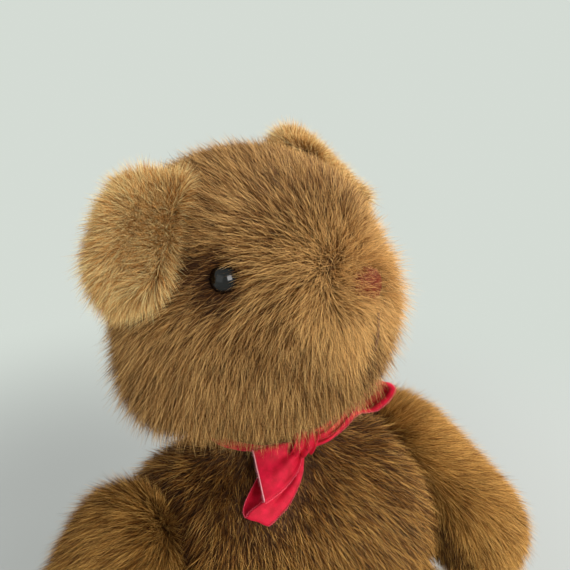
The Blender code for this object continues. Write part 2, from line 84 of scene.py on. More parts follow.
def setCorners(mesh, points):
    mesh.vertices.foreach_set("co", np.asarray(points, np.float32).ravel())
    mesh.update()


def normalsOf(mesh):
    return np.array([v.normal for v in mesh.vertices], float)


def setField(skin, name, values, kind="FLOAT"):
    field = skin.data.attributes.new(name, kind, "POINT")
    key = "value" if kind == "FLOAT" else "vector"
    field.data.foreach_set(key, np.asarray(values, np.float32).ravel())


def unit(vectors):
    return vectors / np.maximum(np.linalg.norm(vectors, axis=-1, keepdims=True), 1e-9)


def smooth(value, low, high):
    share = np.clip((value - low) / (high - low), 0, 1)
    return share * share * (3 - 2 * share)


# Node trees

def join(tree, value, socket):
    if isinstance(value, bpy.types.NodeSocket):
        tree.links.new(value, socket)
    elif value is not None:
        socket.default_value = value


def feed(tree, node, **inputs):
    for key, value in inputs.items():
        join(tree, value, node.inputs[key.replace("_", " ")])
    return node


def feedInOrder(tree, node, values):
    for value, socket in zip(values, node.inputs):
        join(tree, value, socket)
    return node.outputs


def addNode(tree, kind, settings=None, **inputs):
    node = tree.nodes.new(kind)
    for key, value in (settings or {}).items():
        setattr(node, key, value)
    return feed(tree, node, **inputs)


def outOf(tree, kind, settings=None, **inputs):
    return addNode(tree, kind, settings, **inputs).outputs[0]


def number(tree, operation, *values):
    return feedInOrder(tree, addNode(tree, "ShaderNodeMath", {"operation": operation}), values)[0]


def vector(tree, operation, *values):
    made = feedInOrder(tree, addNode(tree, "ShaderNodeVectorMath", {"operation": operation}), values)
    return made["Value" if operation == "LENGTH" else "Vector"]


def scaled(tree, direction, factor):
    return outOf(tree, "ShaderNodeVectorMath", {"operation": "SCALE"}, Vector=direction, Scale=factor)


def summed(tree, *vectors):
    total = vectors[0]
    for one in vectors[1:]:
        total = vector(tree, "ADD", total, one)
    return total


def times(tree, *numbers):
    total = numbers[0]
    for one in numbers[1:]:
        total = number(tree, "MULTIPLY", total, one)
    return total


def split(tree, value):
    return addNode(tree, "ShaderNodeSeparateXYZ", Vector=value).outputs


def objectPlace(tree):
    return addNode(tree, "ShaderNodeTexCoord").outputs["Object"]


def newGroup(name, inputs, output):
    # A node group with named inputs, given by their kinds.
    tree = bpy.data.node_groups.new(name, "GeometryNodeTree")
    for kind, labels in inputs.items():
        for label in labels:
            tree.interface.new_socket(label, in_out="INPUT", socket_type="NodeSocket" + kind)
    tree.interface.new_socket(output, in_out="OUTPUT", socket_type="NodeSocketGeometry")
    return tree, tree.nodes.new("NodeGroupInput").outputs


def endGroup(tree, geometry, material):
    finished = outOf(tree, "GeometryNodeSetMaterial", Geometry=geometry, Material=material)
    join(tree, finished, addNode(tree, "NodeGroupOutput").inputs[0])
    return tree


def newMaterial(name):
    made = bpy.data.materials.new(name)
    made.use_nodes = True
    return made, made.node_tree, made.node_tree.nodes["Principled BSDF"]


def ramp(tree, factor, stops):
    node = tree.nodes.new("ShaderNodeValToRGB")
    elements = node.color_ramp.elements
    while len(elements) < len(stops):
        elements.new(0.5)
    for element, (place, colour) in zip(elements, stops):
        element.position = place
        element.color = (*colour, 1)
    join(tree, factor, node.inputs[0])
    return node.outputs[0]


# Pile: tapered hairs that grow out of a skin, lean with its nap and gather in locks

pile = {
    "bend": 0.30,           # how far a hair curves over along the nap
    "droop": 0.12,
    "lockMess": 0.26,       # how far whole locks stray
    "lockSize": 0.010,
    "clumpGap": 0.0030,     # between the middles of the clumps
    "pullCurve": 1.4,       # how late along a hair its clump draws it in
    "wave": 0.05,
    "waveTurn": 5.0,
    "bladeTurn": 0.8,       # how far the flat blades turn away from the skin
    "growth": (0.62, 1.18),
    "ownShade": 1.40,       # shades differ from hair to hair, by patches and by clumps
    "patchShade": 0.60,
    "patchScale": 55.0,
    "clumpShade": 0.75,
    "clumpScale": 900.0,
    "floor": -0.0030,       # no hair goes below it
}
napFields = ("comb", "pile", "tone", "cover")


def hairBlade(rows):
    # One hair of unit length along Z, and 1 to each side of it.
    points, faces = [], []
    for i in range(rows):
        share = i / rows
        half = (1 - share) ** 0.6
        points += [(-half, 0, share), (half, 0, share)]
    points.append((0, 0, 1))
    for i in range(rows - 1):
        faces.append((2 * i, 2 * i + 1, 2 * i + 3, 2 * i + 2))
    faces.append((2 * rows - 2, 2 * rows - 1, 2 * rows))
    name = "hairBlade" + str(rows)
    return addObject(name, meshFrom(name, points, faces))


def store(tree, geometry, name, value, kind="FLOAT_VECTOR", domain="POINT"):
    return outOf(tree, "GeometryNodeStoreNamedAttribute", {"data_type": kind, "domain": domain},
                 Geometry=geometry, Name=name, Value=value)


def stored(tree, name, kind="FLOAT_VECTOR"):
    return outOf(tree, "GeometryNodeInputNamedAttribute", {"data_type": kind}, Name=name)


def randomNumber(tree, low, high, seed):
    node = addNode(tree, "FunctionNodeRandomValue", {"data_type": "FLOAT"})
    for value, socket in ((low, node.inputs[2]), (high, node.inputs[3]), (seed, node.inputs[8])):
        join(tree, value, socket)
    return node.outputs[1]


def randomVector(tree, seed):
    node = addNode(tree, "FunctionNodeRandomValue", {"data_type": "FLOAT_VECTOR"})
    node.inputs[0].default_value = (-1, -1, -1)
    node.inputs[1].default_value = (1, 1, 1)
    join(tree, seed, node.inputs[8])
    return node.outputs[0]


def buildPileTree():
    tree, given = newGroup("pile", {
        "Geometry": ["Skin"], "Int": ["Seed"], "Object": ["Blade"], "Material": ["Material"],
        "Float": ["Density", "Length", "Width", "Stand", "Mess", "Tone", "Clump Gap", "Clump Pull"]}, "Pile")
    seed = given["Seed"]

    def seedPlus(step):
        return number(tree, "ADD", seed, step)

    def noise(place, scale, detail):
        return addNode(tree, "ShaderNodeTexNoise", {"noise_dimensions": "3D"}, Vector=place, Scale=scale,
                       Detail=detail).outputs

    def tinted(shade, value, amount):
        return number(tree, "MULTIPLY_ADD", number(tree, "SUBTRACT", value, 0.5), amount, shade)

    # Where the hairs grow, and the clump that each belongs to.
    density = times(tree, given["Density"], stored(tree, "cover", "FLOAT"))
    roots = addNode(tree, "GeometryNodeDistributePointsOnFaces", {"distribute_method": "RANDOM"},
                    Mesh=given["Skin"], Density=density, Seed=seed)
    gap = given["Clump Gap"]
    clumpDensity = number(tree, "DIVIDE", 1, times(tree, gap, gap))
    clumps = addNode(tree, "GeometryNodeDistributePointsOnFaces", {"distribute_method": "RANDOM"},
                     Mesh=given["Skin"], Density=clumpDensity, Seed=seedPlus(7)).outputs["Points"]
    place = tree.nodes.new("GeometryNodeInputPosition").outputs[0]
    nearest = addNode(tree, "GeometryNodeSampleNearest", {"domain": "POINT"}, Geometry=clumps,
                      Sample_Position=place).outputs["Index"]
    middle = addNode(tree, "GeometryNodeSampleIndex", {"data_type": "FLOAT_VECTOR", "domain": "POINT"},
                     Geometry=clumps, Value=place, Index=nearest).outputs["Value"]
    locks = vector(tree, "SUBTRACT", noise(place, 1 / pile["lockSize"], 1.0)["Color"], (0.5, 0.5, 0.5))

    points = store(tree, roots.outputs["Points"], "root", place)
    points = store(tree, points, "skinNormal", roots.outputs["Normal"])
    points = store(tree, points, "toClump", vector(tree, "SUBTRACT", middle, place))
    own = scaled(tree, randomVector(tree, seedPlus(1)), given["Mess"])
    points = store(tree, points, "stray", summed(tree, own, scaled(tree, locks, 2 * pile["lockMess"])))
    points = store(tree, points, "curl", randomVector(tree, seedPlus(2)))
    points = store(tree, points, "growth", randomNumber(tree, *pile["growth"], seedPlus(3)), "FLOAT")
    shade = number(tree, "MULTIPLY_ADD", randomNumber(tree, -0.5, 0.5, seedPlus(4)), pile["ownShade"], 0.5)
    shade = tinted(shade, noise(place, pile["patchScale"], 2.0)[0], pile["patchShade"])
    shade = tinted(shade, noise(middle, pile["clumpScale"], 0.0)[0], pile["clumpShade"])
    shade = number(tree, "ADD", shade, number(tree, "ADD", given["Tone"], stored(tree, "tone", "FLOAT")))
    points = store(tree, points, "shade", shade, "FLOAT")

    hair = addNode(tree, "GeometryNodeObjectInfo", {"transform_space": "ORIGINAL"}, Object=given["Blade"])
    hairs = outOf(tree, "GeometryNodeInstanceOnPoints", Points=points, Instance=hair.outputs["Geometry"])
    real = outOf(tree, "GeometryNodeRealizeInstances", Geometry=hairs)

    # Each upright blade is bent to its own line over the skin.
    root, normal, comb, curl = (stored(tree, name) for name in ("root", "skinNormal", "comb", "curl"))
    local = split(tree, vector(tree, "SUBTRACT", place, root))
    side, along = local["X"], local["Z"]
    reach = times(tree, stored(tree, "growth", "FLOAT"), stored(tree, "pile", "FLOAT"), given["Length"])
    start = vector(tree, "NORMALIZE", summed(tree, scaled(tree, normal, given["Stand"]), comb,
                                             stored(tree, "stray")))
    over = summed(tree, scaled(tree, comb, pile["bend"]), (0, 0, -pile["droop"]))
    line = scaled(tree, start, times(tree, reach, along))
    curve = scaled(tree, over, times(tree, reach, times(tree, along, along)))
    pull = times(tree, given["Clump Pull"], number(tree, "POWER", along, pile["pullCurve"]))
    gather = scaled(tree, stored(tree, "toClump"), pull)
    swing = number(tree, "SINE", times(tree, along, pile["waveTurn"]))
    wave = scaled(tree, curl, times(tree, reach, pile["wave"], swing))
    facing = summed(tree, normal, scaled(tree, curl, pile["bladeTurn"]))
    ahead = summed(tree, start, scaled(tree, over, along))
    broad = vector(tree, "NORMALIZE", vector(tree, "CROSS_PRODUCT", ahead, facing))
    breadth = scaled(tree, broad, times(tree, side, given["Width"]))
    target = summed(tree, root, line, curve, gather, wave, breadth)
    shaped = outOf(tree, "GeometryNodeSetPosition", Geometry=store(tree, real, "along", along, "FLOAT"),
                   Position=vector(tree, "MAXIMUM", target, (-9, -9, pile["floor"])))

    # The hair's own map: its shade across, root to tip along.
    inMap = outOf(tree, "ShaderNodeClamp", Value=stored(tree, "shade", "FLOAT"), Min=0.02, Max=0.98)
    flat = outOf(tree, "ShaderNodeCombineXYZ", X=inMap, Y=stored(tree, "along", "FLOAT"))
    shaped = store(tree, shaped, "OFBake", flat, "FLOAT2", "CORNER")
    for name in ("root", "skinNormal", "toClump", "stray", "curl", "growth", "shade", "along", *napFields):
        shaped = outOf(tree, "GeometryNodeRemoveAttribute", Geometry=shaped, Name=name)
    shaped = outOf(tree, "GeometryNodeSetShadeSmooth", Geometry=shaped)
    return endGroup(tree, shaped, given["Material"])


def growPile(name, skin, body, values):
    # values: what the tree's named inputs get, Count in place of Density.
    grown = addObject(name, skin.data.copy())
    area = sum(face.area * share for face, share in zip(skin.data.polygons, coverOf(skin)))
    values = dict(values)
    values["Density"] = values.pop("Count") / area
    growWith(grown, pileTree, values)
    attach(grown, body)
    print("grew", name, len(grown.data.polygons))
    return grown


def growWith(thing, tree, values):
    # Gives a tree's named inputs their values, and keeps the result as a plain mesh.
    live = thing.modifiers.new(tree.name, "NODES")
    live.node_group = tree
    for item in tree.interface.items_tree:
        if item.in_out == "INPUT" and item.name in values:
            live[item.identifier] = values[item.name]
    return settle(thing)


def coverOf(skin):
    cover = np.zeros(len(skin.data.vertices), np.float32)
    skin.data.attributes["cover"].data.foreach_get("value", cover)
    return [cover[list(face.vertices)].mean() for face in skin.data.polygons]


def furMaterial(name, dark, middle, light):
    # Across the map: each hair's own shade. Along it: painted shade from the root to the tip, darkest at the root.
    made, tree, shader = newMaterial(name)
    place = split(tree, outOf(tree, "ShaderNodeUVMap", {"uv_map": "OFBake"}))
    own = ramp(tree, place["X"], [(0.0, dark), (0.5, middle), (1.0, light)])
    rootShade = ramp(tree, place["Y"], [(0.0, (0.14, 0.11, 0.09)), (0.40, (0.55, 0.50, 0.46)), (0.80, (1, 1, 1))])
    mix = addNode(tree, "ShaderNodeMix", {"data_type": "RGBA", "blend_type": "MULTIPLY"})
    for value, socket in ((1, mix.inputs[0]), (own, mix.inputs[6]), (rootShade, mix.inputs[7])):
        join(tree, value, socket)
    feed(tree, shader, Base_Color=mix.outputs[2], Roughness=0.58, Specular_IOR_Level=0.16)
    return made


# Threads and trims

def buildThreadTree():
    # A round thread along each line.
    tree, given = newGroup("threads", {"Geometry": ["Lines"], "Float": ["Radius"], "Int": ["Sides"],
                                       "Material": ["Material"]}, "Threads")
    lines = outOf(tree, "GeometryNodeMeshToCurve", Mesh=given["Lines"])
    section = outOf(tree, "GeometryNodeCurvePrimitiveCircle", Resolution=given["Sides"],
                    Radius=given["Radius"])
    tube = outOf(tree, "GeometryNodeCurveToMesh", Curve=lines, Profile_Curve=section, Fill_Caps=True)
    real = outOf(tree, "GeometryNodeRealizeInstances", Geometry=tube)
    even = outOf(tree, "GeometryNodeSetShadeSmooth", Geometry=real)
    return endGroup(tree, even, given["Material"])


def buildTrimTree():
    # One small shape at each point: X along the edge and Y away from it.
    tree, given = newGroup("trim", {
        "Geometry": ["Points"], "Object": ["Shape"], "Float": ["Size", "Spread", "Lean"], "Int": ["Seed"],
        "Material": ["Material"]}, "Trim")
    shape = addNode(tree, "GeometryNodeObjectInfo", {"transform_space": "ORIGINAL"}, Object=given["Shape"])
    sway = scaled(tree, randomVector(tree, given["Seed"]), given["Lean"])
    along = outOf(tree, "FunctionNodeAlignRotationToVector", {"axis": "X"}, Vector=stored(tree, "alongEdge"))
    away = vector(tree, "ADD", stored(tree, "awayFromEdge"), sway)
    turn = outOf(tree, "FunctionNodeAlignRotationToVector", {"axis": "Y", "pivot_axis": "X"}, Rotation=along,
                 Vector=away)
    least, most = (times(tree, given["Size"], number(tree, operation, 1, given["Spread"]))
                   for operation in ("SUBTRACT", "ADD"))
    size = randomNumber(tree, least, most, number(tree, "ADD", given["Seed"], 1))
    placed = outOf(tree, "GeometryNodeInstanceOnPoints", Points=given["Points"],
                   Instance=shape.outputs["Geometry"], Rotation=turn, Scale=size)
    real = outOf(tree, "GeometryNodeRealizeInstances", Geometry=placed)
    return endGroup(tree, real, given["Material"])


pileTree = buildPileTree()
threadTree = buildThreadTree()
trimTree = buildTrimTree()
fineBlade, bentBlade = hairBlade(1), hairBlade(2)


def sewThreads(name, lines, radius, sides, material):
    points, edges = [], []
    for line in lines:
        start = len(points)
        points += [tuple(p) for p in line]
        edges += [(start + i, start + i + 1) for i in range(len(line) - 1)]
    return growWith(addObject(name, meshFrom(name, points, [], edges)), threadTree,
                    {"Radius": radius, "Sides": sides, "Material": material})


def trimEdge(name, places, along, away, shape, size, spread, lean, seed, material):
    edge = addObject(name, meshFrom(name, places, []))
    setField(edge, "alongEdge", along, "FLOAT_VECTOR")
    setField(edge, "awayFromEdge", away, "FLOAT_VECTOR")
    return growWith(edge, trimTree, {"Shape": shape, "Size": size, "Spread": spread, "Lean": lean,
                                     "Seed": seed, "Material": material})


def tubeAlong(name, line, radii, sides=3):
    # A small closed tube for trims, with its own radius at each point.
    line = np.asarray(line, float)
    points, faces = [], []
    for centre, radius in zip(line, radii):
        for k in range(sides):
            turn = 2 * math.pi * k / sides
            points.append(centre + radius * np.array((0.0, math.cos(turn), math.sin(turn))))
    for i in range(len(line) - 1):
        for k in range(sides):
            a, b = i * sides + k, i * sides + (k + 1) % sides
            faces.append((a, b, b + sides, a + sides))
    faces.append(tuple(range(sides))[::-1])
    faces.append(tuple(len(points) - sides + k for k in range(sides)))
    return addObject(name, meshFrom(name, points, faces))


def measured(line):
    # How far along a line each of its points is.
    return np.concatenate(([0], np.cumsum(np.linalg.norm(np.diff(line, axis=0), axis=1))))


def evenly(line, pitch):
    # Places a pitch apart on a line.
    far = measured(line)
    stops = np.arange(pitch / 2, far[-1], pitch)
    return np.column_stack([np.interp(stops, far, line[:, k]) for k in range(3)])


def throughPoints(controls, count):
    # A smooth line through the points given.
    controls = np.asarray(controls, float)
    padded = np.vstack((2 * controls[0] - controls[1], controls, 2 * controls[-1] - controls[-2]))
    made = []
    for step in range(count):
        place = step / (count - 1) * (len(controls) - 1)
        i = min(int(place), len(controls) - 2)
        t = place - i
        a, b, c, d = padded[i:i + 4]
        made.append(0.5 * (2 * b + (c - a) * t + (2 * a - 5 * b + 4 * c - d) * t ** 2
                           + (3 * b - 3 * c + d - a) * t ** 3))
    return np.array(made)


def surfaceOf(*things):
    # The surface of some meshes, to find places on.
    points, faces = [], []
    for thing in things:
        start = len(points)
        points += [tuple(v.co) for v in thing.data.vertices]
        faces += [tuple(start + i for i in face.vertices) for face in thing.data.polygons]
    return BVHTree.FromPolygons(points, faces)


def gapsTo(surface, points):
    # Below nothing for a point inside a closed surface.
    gaps = []
    for point in points:
        place = Vector(point)
        spot, normal, _, far = surface.find_nearest(place)
        gaps.append(-far if (place - spot).dot(normal) < -0.95 * far else far)
    return np.array(gaps)


# Materials

def clothMaterial(name, colour):
    made, tree, shader = newMaterial(name)
    knit = outOf(tree, "ShaderNodeTexVoronoi", Vector=objectPlace(tree), Scale=900.0)
    tint = ramp(tree, knit, [(0.0, [c * 0.6 for c in colour]), (1.0, [c * 1.2 for c in colour])])
    relief = outOf(tree, "ShaderNodeBump", Strength=0.4, Distance=0.0004, Height=knit)
    feed(tree, shader, Base_Color=tint, Normal=relief, Roughness=0.95)
    return made


def speckledMaterial(name, dark, light, scale, roughness, bump, metallic=0.0, shine=0.5):
    # Noise between two tones, with the same noise in its relief.
    made, tree, shader = newMaterial(name)
    place = objectPlace(tree)
    grain = outOf(tree, "ShaderNodeTexNoise", Vector=place, Scale=scale, Detail=6.0, Roughness=0.6)
    rough = outOf(tree, "ShaderNodeMapRange", Value=grain, To_Min=roughness[0], To_Max=roughness[1])
    relief = outOf(tree, "ShaderNodeBump", Strength=0.5, Distance=bump, Height=grain)
    feed(tree, shader, Base_Color=ramp(tree, grain, [(0.3, dark), (0.7, light)]), Roughness=rough,
         Normal=relief, Metallic=metallic, Specular_IOR_Level=shine)
    return made


def ribbonMaterial(name, dark, light):
    # Fine cross ribs with the warp between them, on the ribbon's own map in metres.
    made, tree, shader = newMaterial(name)
    place = split(tree, outOf(tree, "ShaderNodeUVMap", {"uv_map": "weave"}))
    weft, warp = (number(tree, "SINE", times(tree, place[axis], 2 * math.pi / pitch))
                  for axis, pitch in (("Y", 0.00055), ("X", 0.00040)))
    weave = number(tree, "MULTIPLY_ADD", times(tree, weft, warp), 0.5, 0.5)
    cloud = outOf(tree, "ShaderNodeTexNoise", Vector=objectPlace(tree), Scale=260.0, Detail=4.0)
    shade = number(tree, "MULTIPLY_ADD", number(tree, "SUBTRACT", weave, 0.5), 0.35, cloud)
    relief = outOf(tree, "ShaderNodeBump", Strength=0.35, Distance=0.00012, Height=weave)
    feed(tree, shader, Base_Color=ramp(tree, shade, [(0.25, dark), (0.75, light)]), Normal=relief,
         Roughness=0.62, Specular_IOR_Level=0.25, Sheen_Weight=0.03)
    return made


brownFur = furMaterial("brownFur", (0.034, 0.010, 0.0018), (0.36, 0.152, 0.033), (1.0, 0.61, 0.22))
bodyFur = furMaterial("bodyFur", (0.036, 0.011, 0.0016), (0.41, 0.168, 0.029), (0.98, 0.57, 0.155))
goldenFur = furMaterial("goldenFur", (0.17, 0.056, 0.010), (0.86, 0.410, 0.105), (1.0, 0.82, 0.38))
backing = clothMaterial("backing", (0.085, 0.036, 0.010))
goldenBacking = clothMaterial("goldenBacking", (0.20, 0.09, 0.026))
crimson = ribbonMaterial("crimsonRibbon", (0.42, 0.002, 0.014), (0.74, 0.006, 0.042))
crimsonThread = speckledMaterial("crimsonThread", (0.74, 0.02, 0.06), (0.92, 0.13, 0.19), 900,
                                 (0.6, 0.8), 0.00005)
paleThread = speckledMaterial("paleThread", (0.85, 0.22, 0.27), (0.95, 0.55, 0.55), 900, (0.6, 0.8), 0.00005)
noseSilk = speckledMaterial("noseSilk", (0.060, 0.009, 0.004), (0.26, 0.044, 0.015), 1400,
                            (0.42, 0.66), 0.0001, shine=0.12)
noseFelt = speckledMaterial("noseFelt", (0.06, 0.010, 0.006), (0.13, 0.028, 0.017), 1500, (0.85, 1.0), 0.0001)
mouthThread = speckledMaterial("mouthThread", (0.045, 0.014, 0.008), (0.13, 0.045, 0.026), 1500,
                               (0.6, 0.8), 0.0001)
eyeBlack = speckledMaterial("eyeBlack", (0.0008, 0.0006, 0.0005), (0.0022, 0.0016, 0.0012), 160,
                            (0.09, 0.13), 0.0, shine=0.42)
suede = speckledMaterial("suede", (0.34, 0.20, 0.092), (0.56, 0.37, 0.19), 420, (0.85, 1.0), 0.0002)
moulded = speckledMaterial("moulded", (0.76, 0.75, 0.70), (0.84, 0.84, 0.80), 120, (0.35, 0.5), 0.00005)
steel = speckledMaterial("steel", (0.52, 0.52, 0.53), (0.68, 0.68, 0.68), 300, (0.22, 0.38), 0.00003,
                         metallic=1.0)
wadding = speckledMaterial("wadding", (0.74, 0.73, 0.69), (0.88, 0.87, 0.84), 90, (0.95, 1.0), 0.0008)
finishes = {"joint_plastic": moulded, "washer_steel": steel, "sole_suede": suede, "eye_plastic": eyeBlack,
            "nose_thread": noseFelt, "filling": wadding, "ribbon": crimson, "plush": backing,
            "ear_plush": goldenBacking}
for part in frame["record"]["subparts"]:
    node = frame["nodes"][part["node"]]
    for place in node.material_slots:
        place.material = finishes[part["material_slot"]]
for place in frame["nodes"]["mouth"].material_slots:
    place.material = mouthThread
print("materials ready")


# Skins: the stuffed cloth under the pile

skins = {
    "voxel": 0.0035,
    "smoothings": 3,
    "inset": 0.0016,        # slimmer before it is filled
    "pressure": 4.0,
    "stiffness": 15,
    "cap": 0.0030,          # farthest that the filling may push it
    "frames": 20,
    "firm": (0.0025, 0.0090),  # from a firm part, the gap where the cloth starts to give and where it is free
    "lowest": 0.0006,
}


def skinFrom(name, nodes):
    # One closed surface round the CAD solids of a limb.
    shape = bmesh.new()
    for node in nodes:
        shape.from_mesh(frame["nodes"][node].data)
    bmesh.ops.remove_doubles(shape, verts=shape.verts, dist=1e-6)
    mesh = bpy.data.meshes.new(name)
    shape.to_mesh(mesh)
    shape.free()
    skin = addObject(name, mesh)
    closer = skin.modifiers.new("close", "REMESH")
    closer.mode = "VOXEL"
    closer.voxel_size = skins["voxel"]
    settle(skin)
    keepLargest(skin.data)
    return skin


def keepLargest(mesh):
    # Drops the loose inner shells, then evens the surface.
    shape = bmesh.new()
    shape.from_mesh(mesh)
    left, islands = set(shape.verts), []
    while left:
        island, front = set(), [left.pop()]
        while front:
            vertex = front.pop()
            island.add(vertex)
            near = {edge.other_vert(vertex) for edge in vertex.link_edges} & left
            left -= near
            front.extend(near)
        islands.append(island)
    largest = max(islands, key=len)
    spare = [vertex for island in islands if island is not largest for vertex in island]
    bmesh.ops.delete(shape, geom=spare, context="VERTS")
    for _ in range(skins["smoothings"]):
        bmesh.ops.smooth_vert(shape, verts=shape.verts, factor=0.5, use_axis_x=True, use_axis_y=True,
                              use_axis_z=True)
    bmesh.ops.recalc_face_normals(shape, faces=shape.faces)
    shape.to_mesh(mesh)
    shape.free()


def fillSkin(skin, firm=None):
    # Air pressure rounds the cloth as filling does, less so near the firm parts sewn to it.
    start = corners(skin.data)
    free = np.ones(len(start)) if firm is None else smooth(np.abs(gapsTo(firm, start)), *skins["firm"])
    slim = start - normalsOf(skin.data) * skins["inset"]
    setCorners(skin.data, slim)
    cloth = skin.modifiers.new("fill", "CLOTH")
    cloth.settings.quality = 4
    cloth.settings.mass = 0.3
    cloth.settings.tension_stiffness = skins["stiffness"]
    cloth.settings.compression_stiffness = skins["stiffness"]
    cloth.settings.bending_stiffness = 2
    cloth.settings.use_pressure = True
    cloth.settings.uniform_pressure_force = skins["pressure"]
    cloth.settings.effector_weights.gravity = 0
    cloth.collision_settings.use_collision = False
    cloth.point_cache.frame_start = 1
    cloth.point_cache.frame_end = skins["frames"]
    scene = bpy.context.scene
    for step in range(1, skins["frames"] + 1):
        scene.frame_set(step)
    settle(skin)
    scene.frame_set(1)
    moved = corners(skin.data) - slim
    length = np.linalg.norm(moved, axis=1, keepdims=True)
    slim = slim + moved * np.minimum(1, skins["cap"] / np.maximum(length, 1e-9)) * free[:, None]
    slim[:, 2] = np.maximum(slim[:, 2], skins["lowest"])
    setCorners(skin.data, slim)
    rounder = skin.modifiers.new("round", "SUBSURF")
    rounder.levels = rounder.render_levels = 1
    settle(skin)
    skin.data.shade_smooth()
    print("filled", skin.name, len(skin.data.polygons))
    return skin


def setNap(skin, flow, length, tone, cover, lay):
    # flow: where the nap runs at each vertex. lay: how strongly it is laid over.
    normals = normalsOf(skin.data)
    many = len(normals)
    flat = unit(flow - normals * (flow * normals).sum(1, keepdims=True))
    setField(skin, "comb", flat * np.broadcast_to(lay, many)[:, None], "FLOAT_VECTOR")
    for name, values in (("pile", length), ("tone", tone), ("cover", cover)):
        setField(skin, name, np.broadcast_to(values, many))


coats = {
    # The undercoat's lower tone is painted shade deep in the pile.
    "under": {"blade": fineBlade, "share": 1.9, "length": 0.74, "width": 1.15, "stand": 0.74, "mess": 0.48,
              "tone": -0.22, "pull": 0.12},
    "pile": {"blade": bentBlade, "share": 1.0, "length": 1.0, "width": 0.74, "stand": 0.62, "mess": 0.46,
             "tone": 0.0, "pull": 0.22},
    "guard": {"blade": bentBlade, "share": 0.9, "length": 1.20, "width": 0.70, "stand": 0.72, "mess": 0.60,
              "tone": 0.24, "pull": 0.30},
}


def growCoats(name, skin, body, fur, values, seed, layers):
    for step, layer in enumerate(layers):
        coat = coats[layer]
        growPile(name + "_" + layer, skin, body, {
            "Count": values["hairs"] * coat["share"], "Length": values["hairLength"] * coat["length"],
            "Width": values["hairWidth"] * coat["width"], "Stand": coat["stand"], "Mess": coat["mess"],
            "Tone": coat["tone"], "Clump Gap": pile["clumpGap"], "Clump Pull": coat["pull"],
            "Seed": seed + 10 * step, "Blade": coat["blade"], "Material": fur})


def finishSkin(skin, body, cloth, slot, fill, *nodes):
    for name in napFields:
        skin.data.attributes.remove(skin.data.attributes[name])
    skin.data.materials.clear()
    skin.data.materials.append(cloth)
    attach(skin, body)
    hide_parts(*nodes)


# The head's own directions: X to its left, -Y forwards, Z along the neck

head = {
    "turn": math.radians(13.5),
    "bridge": (0.0062, -0.058, 0.0935),  # the nap starts at two whorls above the nose, this far each side
    "hairs": 60000,
    "hairLength": 0.0100,
    "hairWidth": 0.00014,
}

neckPlace = np.array(joints["head"]["pos_m"])
neckUp = unit(np.array(joints["head"]["axis"], float))
turned = np.array((math.cos(head["turn"]), math.sin(head["turn"]), 0.0))
turned = unit(turned - neckUp * turned.dot(neckUp))
headTurn = np.column_stack((turned, np.cross(neckUp, turned), neckUp))


def inHead(points):
    return (points - neckPlace) @ headTurn


def nodeMiddle(name):
    low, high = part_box(name)
    return np.array((low + high) / 2)


# Ribbon: a bow of soft ribbon. Its places are across, outwards and up from the knot, in millimetres.

ribbon = {
    "facing": math.radians(-34.2),
    "width": 0.025,
    "thick": 0.0005,
    "columns": 15,
    "perPleat": 8,          # columns in each pleat, where that makes more
    "wanderTurn": 260,      # how quickly the pleats wander along the ribbon
    "picot": 0.00065,
    "picotPitch": 0.0011,
    "picotSpread": 0.15,
    "picotLean": 0.12,
}

knotMiddle = nodeMiddle("ribbon_knot")
bowOut = np.array((math.sin(ribbon["facing"]), -math.cos(ribbon["facing"]), 0))
bowAcross = np.array((math.cos(ribbon["facing"]), math.sin(ribbon["facing"]), 0))
bowTurn = np.column_stack((bowAcross, bowOut, (0, 0, 1)))


def atKnot(places):
    return np.asarray(places, float) * 0.001 @ bowTurn.T + knotMiddle


def ribbonStrip(name, left, right, shape, deep):
    # A strip between two edges, pleated across its width. deep: how deep the pleats are at each row.
    columns = max(ribbon["columns"], int(shape["pleats"] * ribbon["perPleat"]) + 1)
    share = np.linspace(0, 1, columns)[None, :, None]
    flat = left[:, None] * (1 - share) + right[:, None] * share
    along = np.gradient(flat.mean(1), axis=0)
    lift = unit(np.cross(along, right - left))
    far = measured(flat.mean(1))
    phase = shape["wander"] * np.sin(far * ribbon["wanderTurn"])
    wave = np.sin(2 * math.pi * shape["pleats"] * share[..., 0]
                  + phase[:, None] * np.sin(math.pi * share[..., 0]))
    points = flat + lift[:, None] * (np.broadcast_to(deep, len(left))[:, None] * wave)[..., None]
    faces = [(i * columns + j, i * columns + j + 1, (i + 1) * columns + j + 1, (i + 1) * columns + j)
             for i in range(len(left) - 1) for j in range(columns - 1)]
    mesh = meshFrom(name, points.reshape(-1, 3), faces)
    places = np.stack(np.broadcast_arrays(share[..., 0] * ribbon["width"], far[:, None]), -1).reshape(-1, 2)
    weave = mesh.uv_layers.new(name="weave")
    order = np.zeros(len(mesh.loops), int)
    mesh.loops.foreach_get("vertex_index", order)
    weave.data.foreach_set("uv", places[order].astype(np.float32).ravel())
    mesh.materials.append(crimson)
    mesh.shade_smooth()
    strip = addObject(name, mesh)
    wall = strip.modifiers.new("thickness", "SOLIDIFY")
    wall.thickness = ribbon["thick"]
    wall.offset = 0
    settle(strip)
    return strip, points


def picots(name, points):
    # The tiny loops of thread along both woven edges.
    places, along, away = [], [], []
    for edge, inner in ((points[:, 0], points[:, 1]), (points[:, -1], points[:, -2])):
        spots = evenly(edge, ribbon["picotPitch"])
        near = evenly(inner, measured(inner)[-1] / max(len(spots), 1))[:len(spots)]
        spots = spots[:len(near)]
        places.append(spots)
        along.append(np.gradient(spots, axis=0))
        away.append(unit(spots - near))
    return trimEdge(name, np.vstack(places), np.vstack(along), np.vstack(away), picotLoop, ribbon["picot"],
                    ribbon["picotSpread"], ribbon["picotLean"], 5, crimsonThread)


def finishRibbon(piece, length, held, rests, replaced, *trims):
    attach(piece, "body")
    for trim in trims:
        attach(trim, "body")
    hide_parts(replaced)


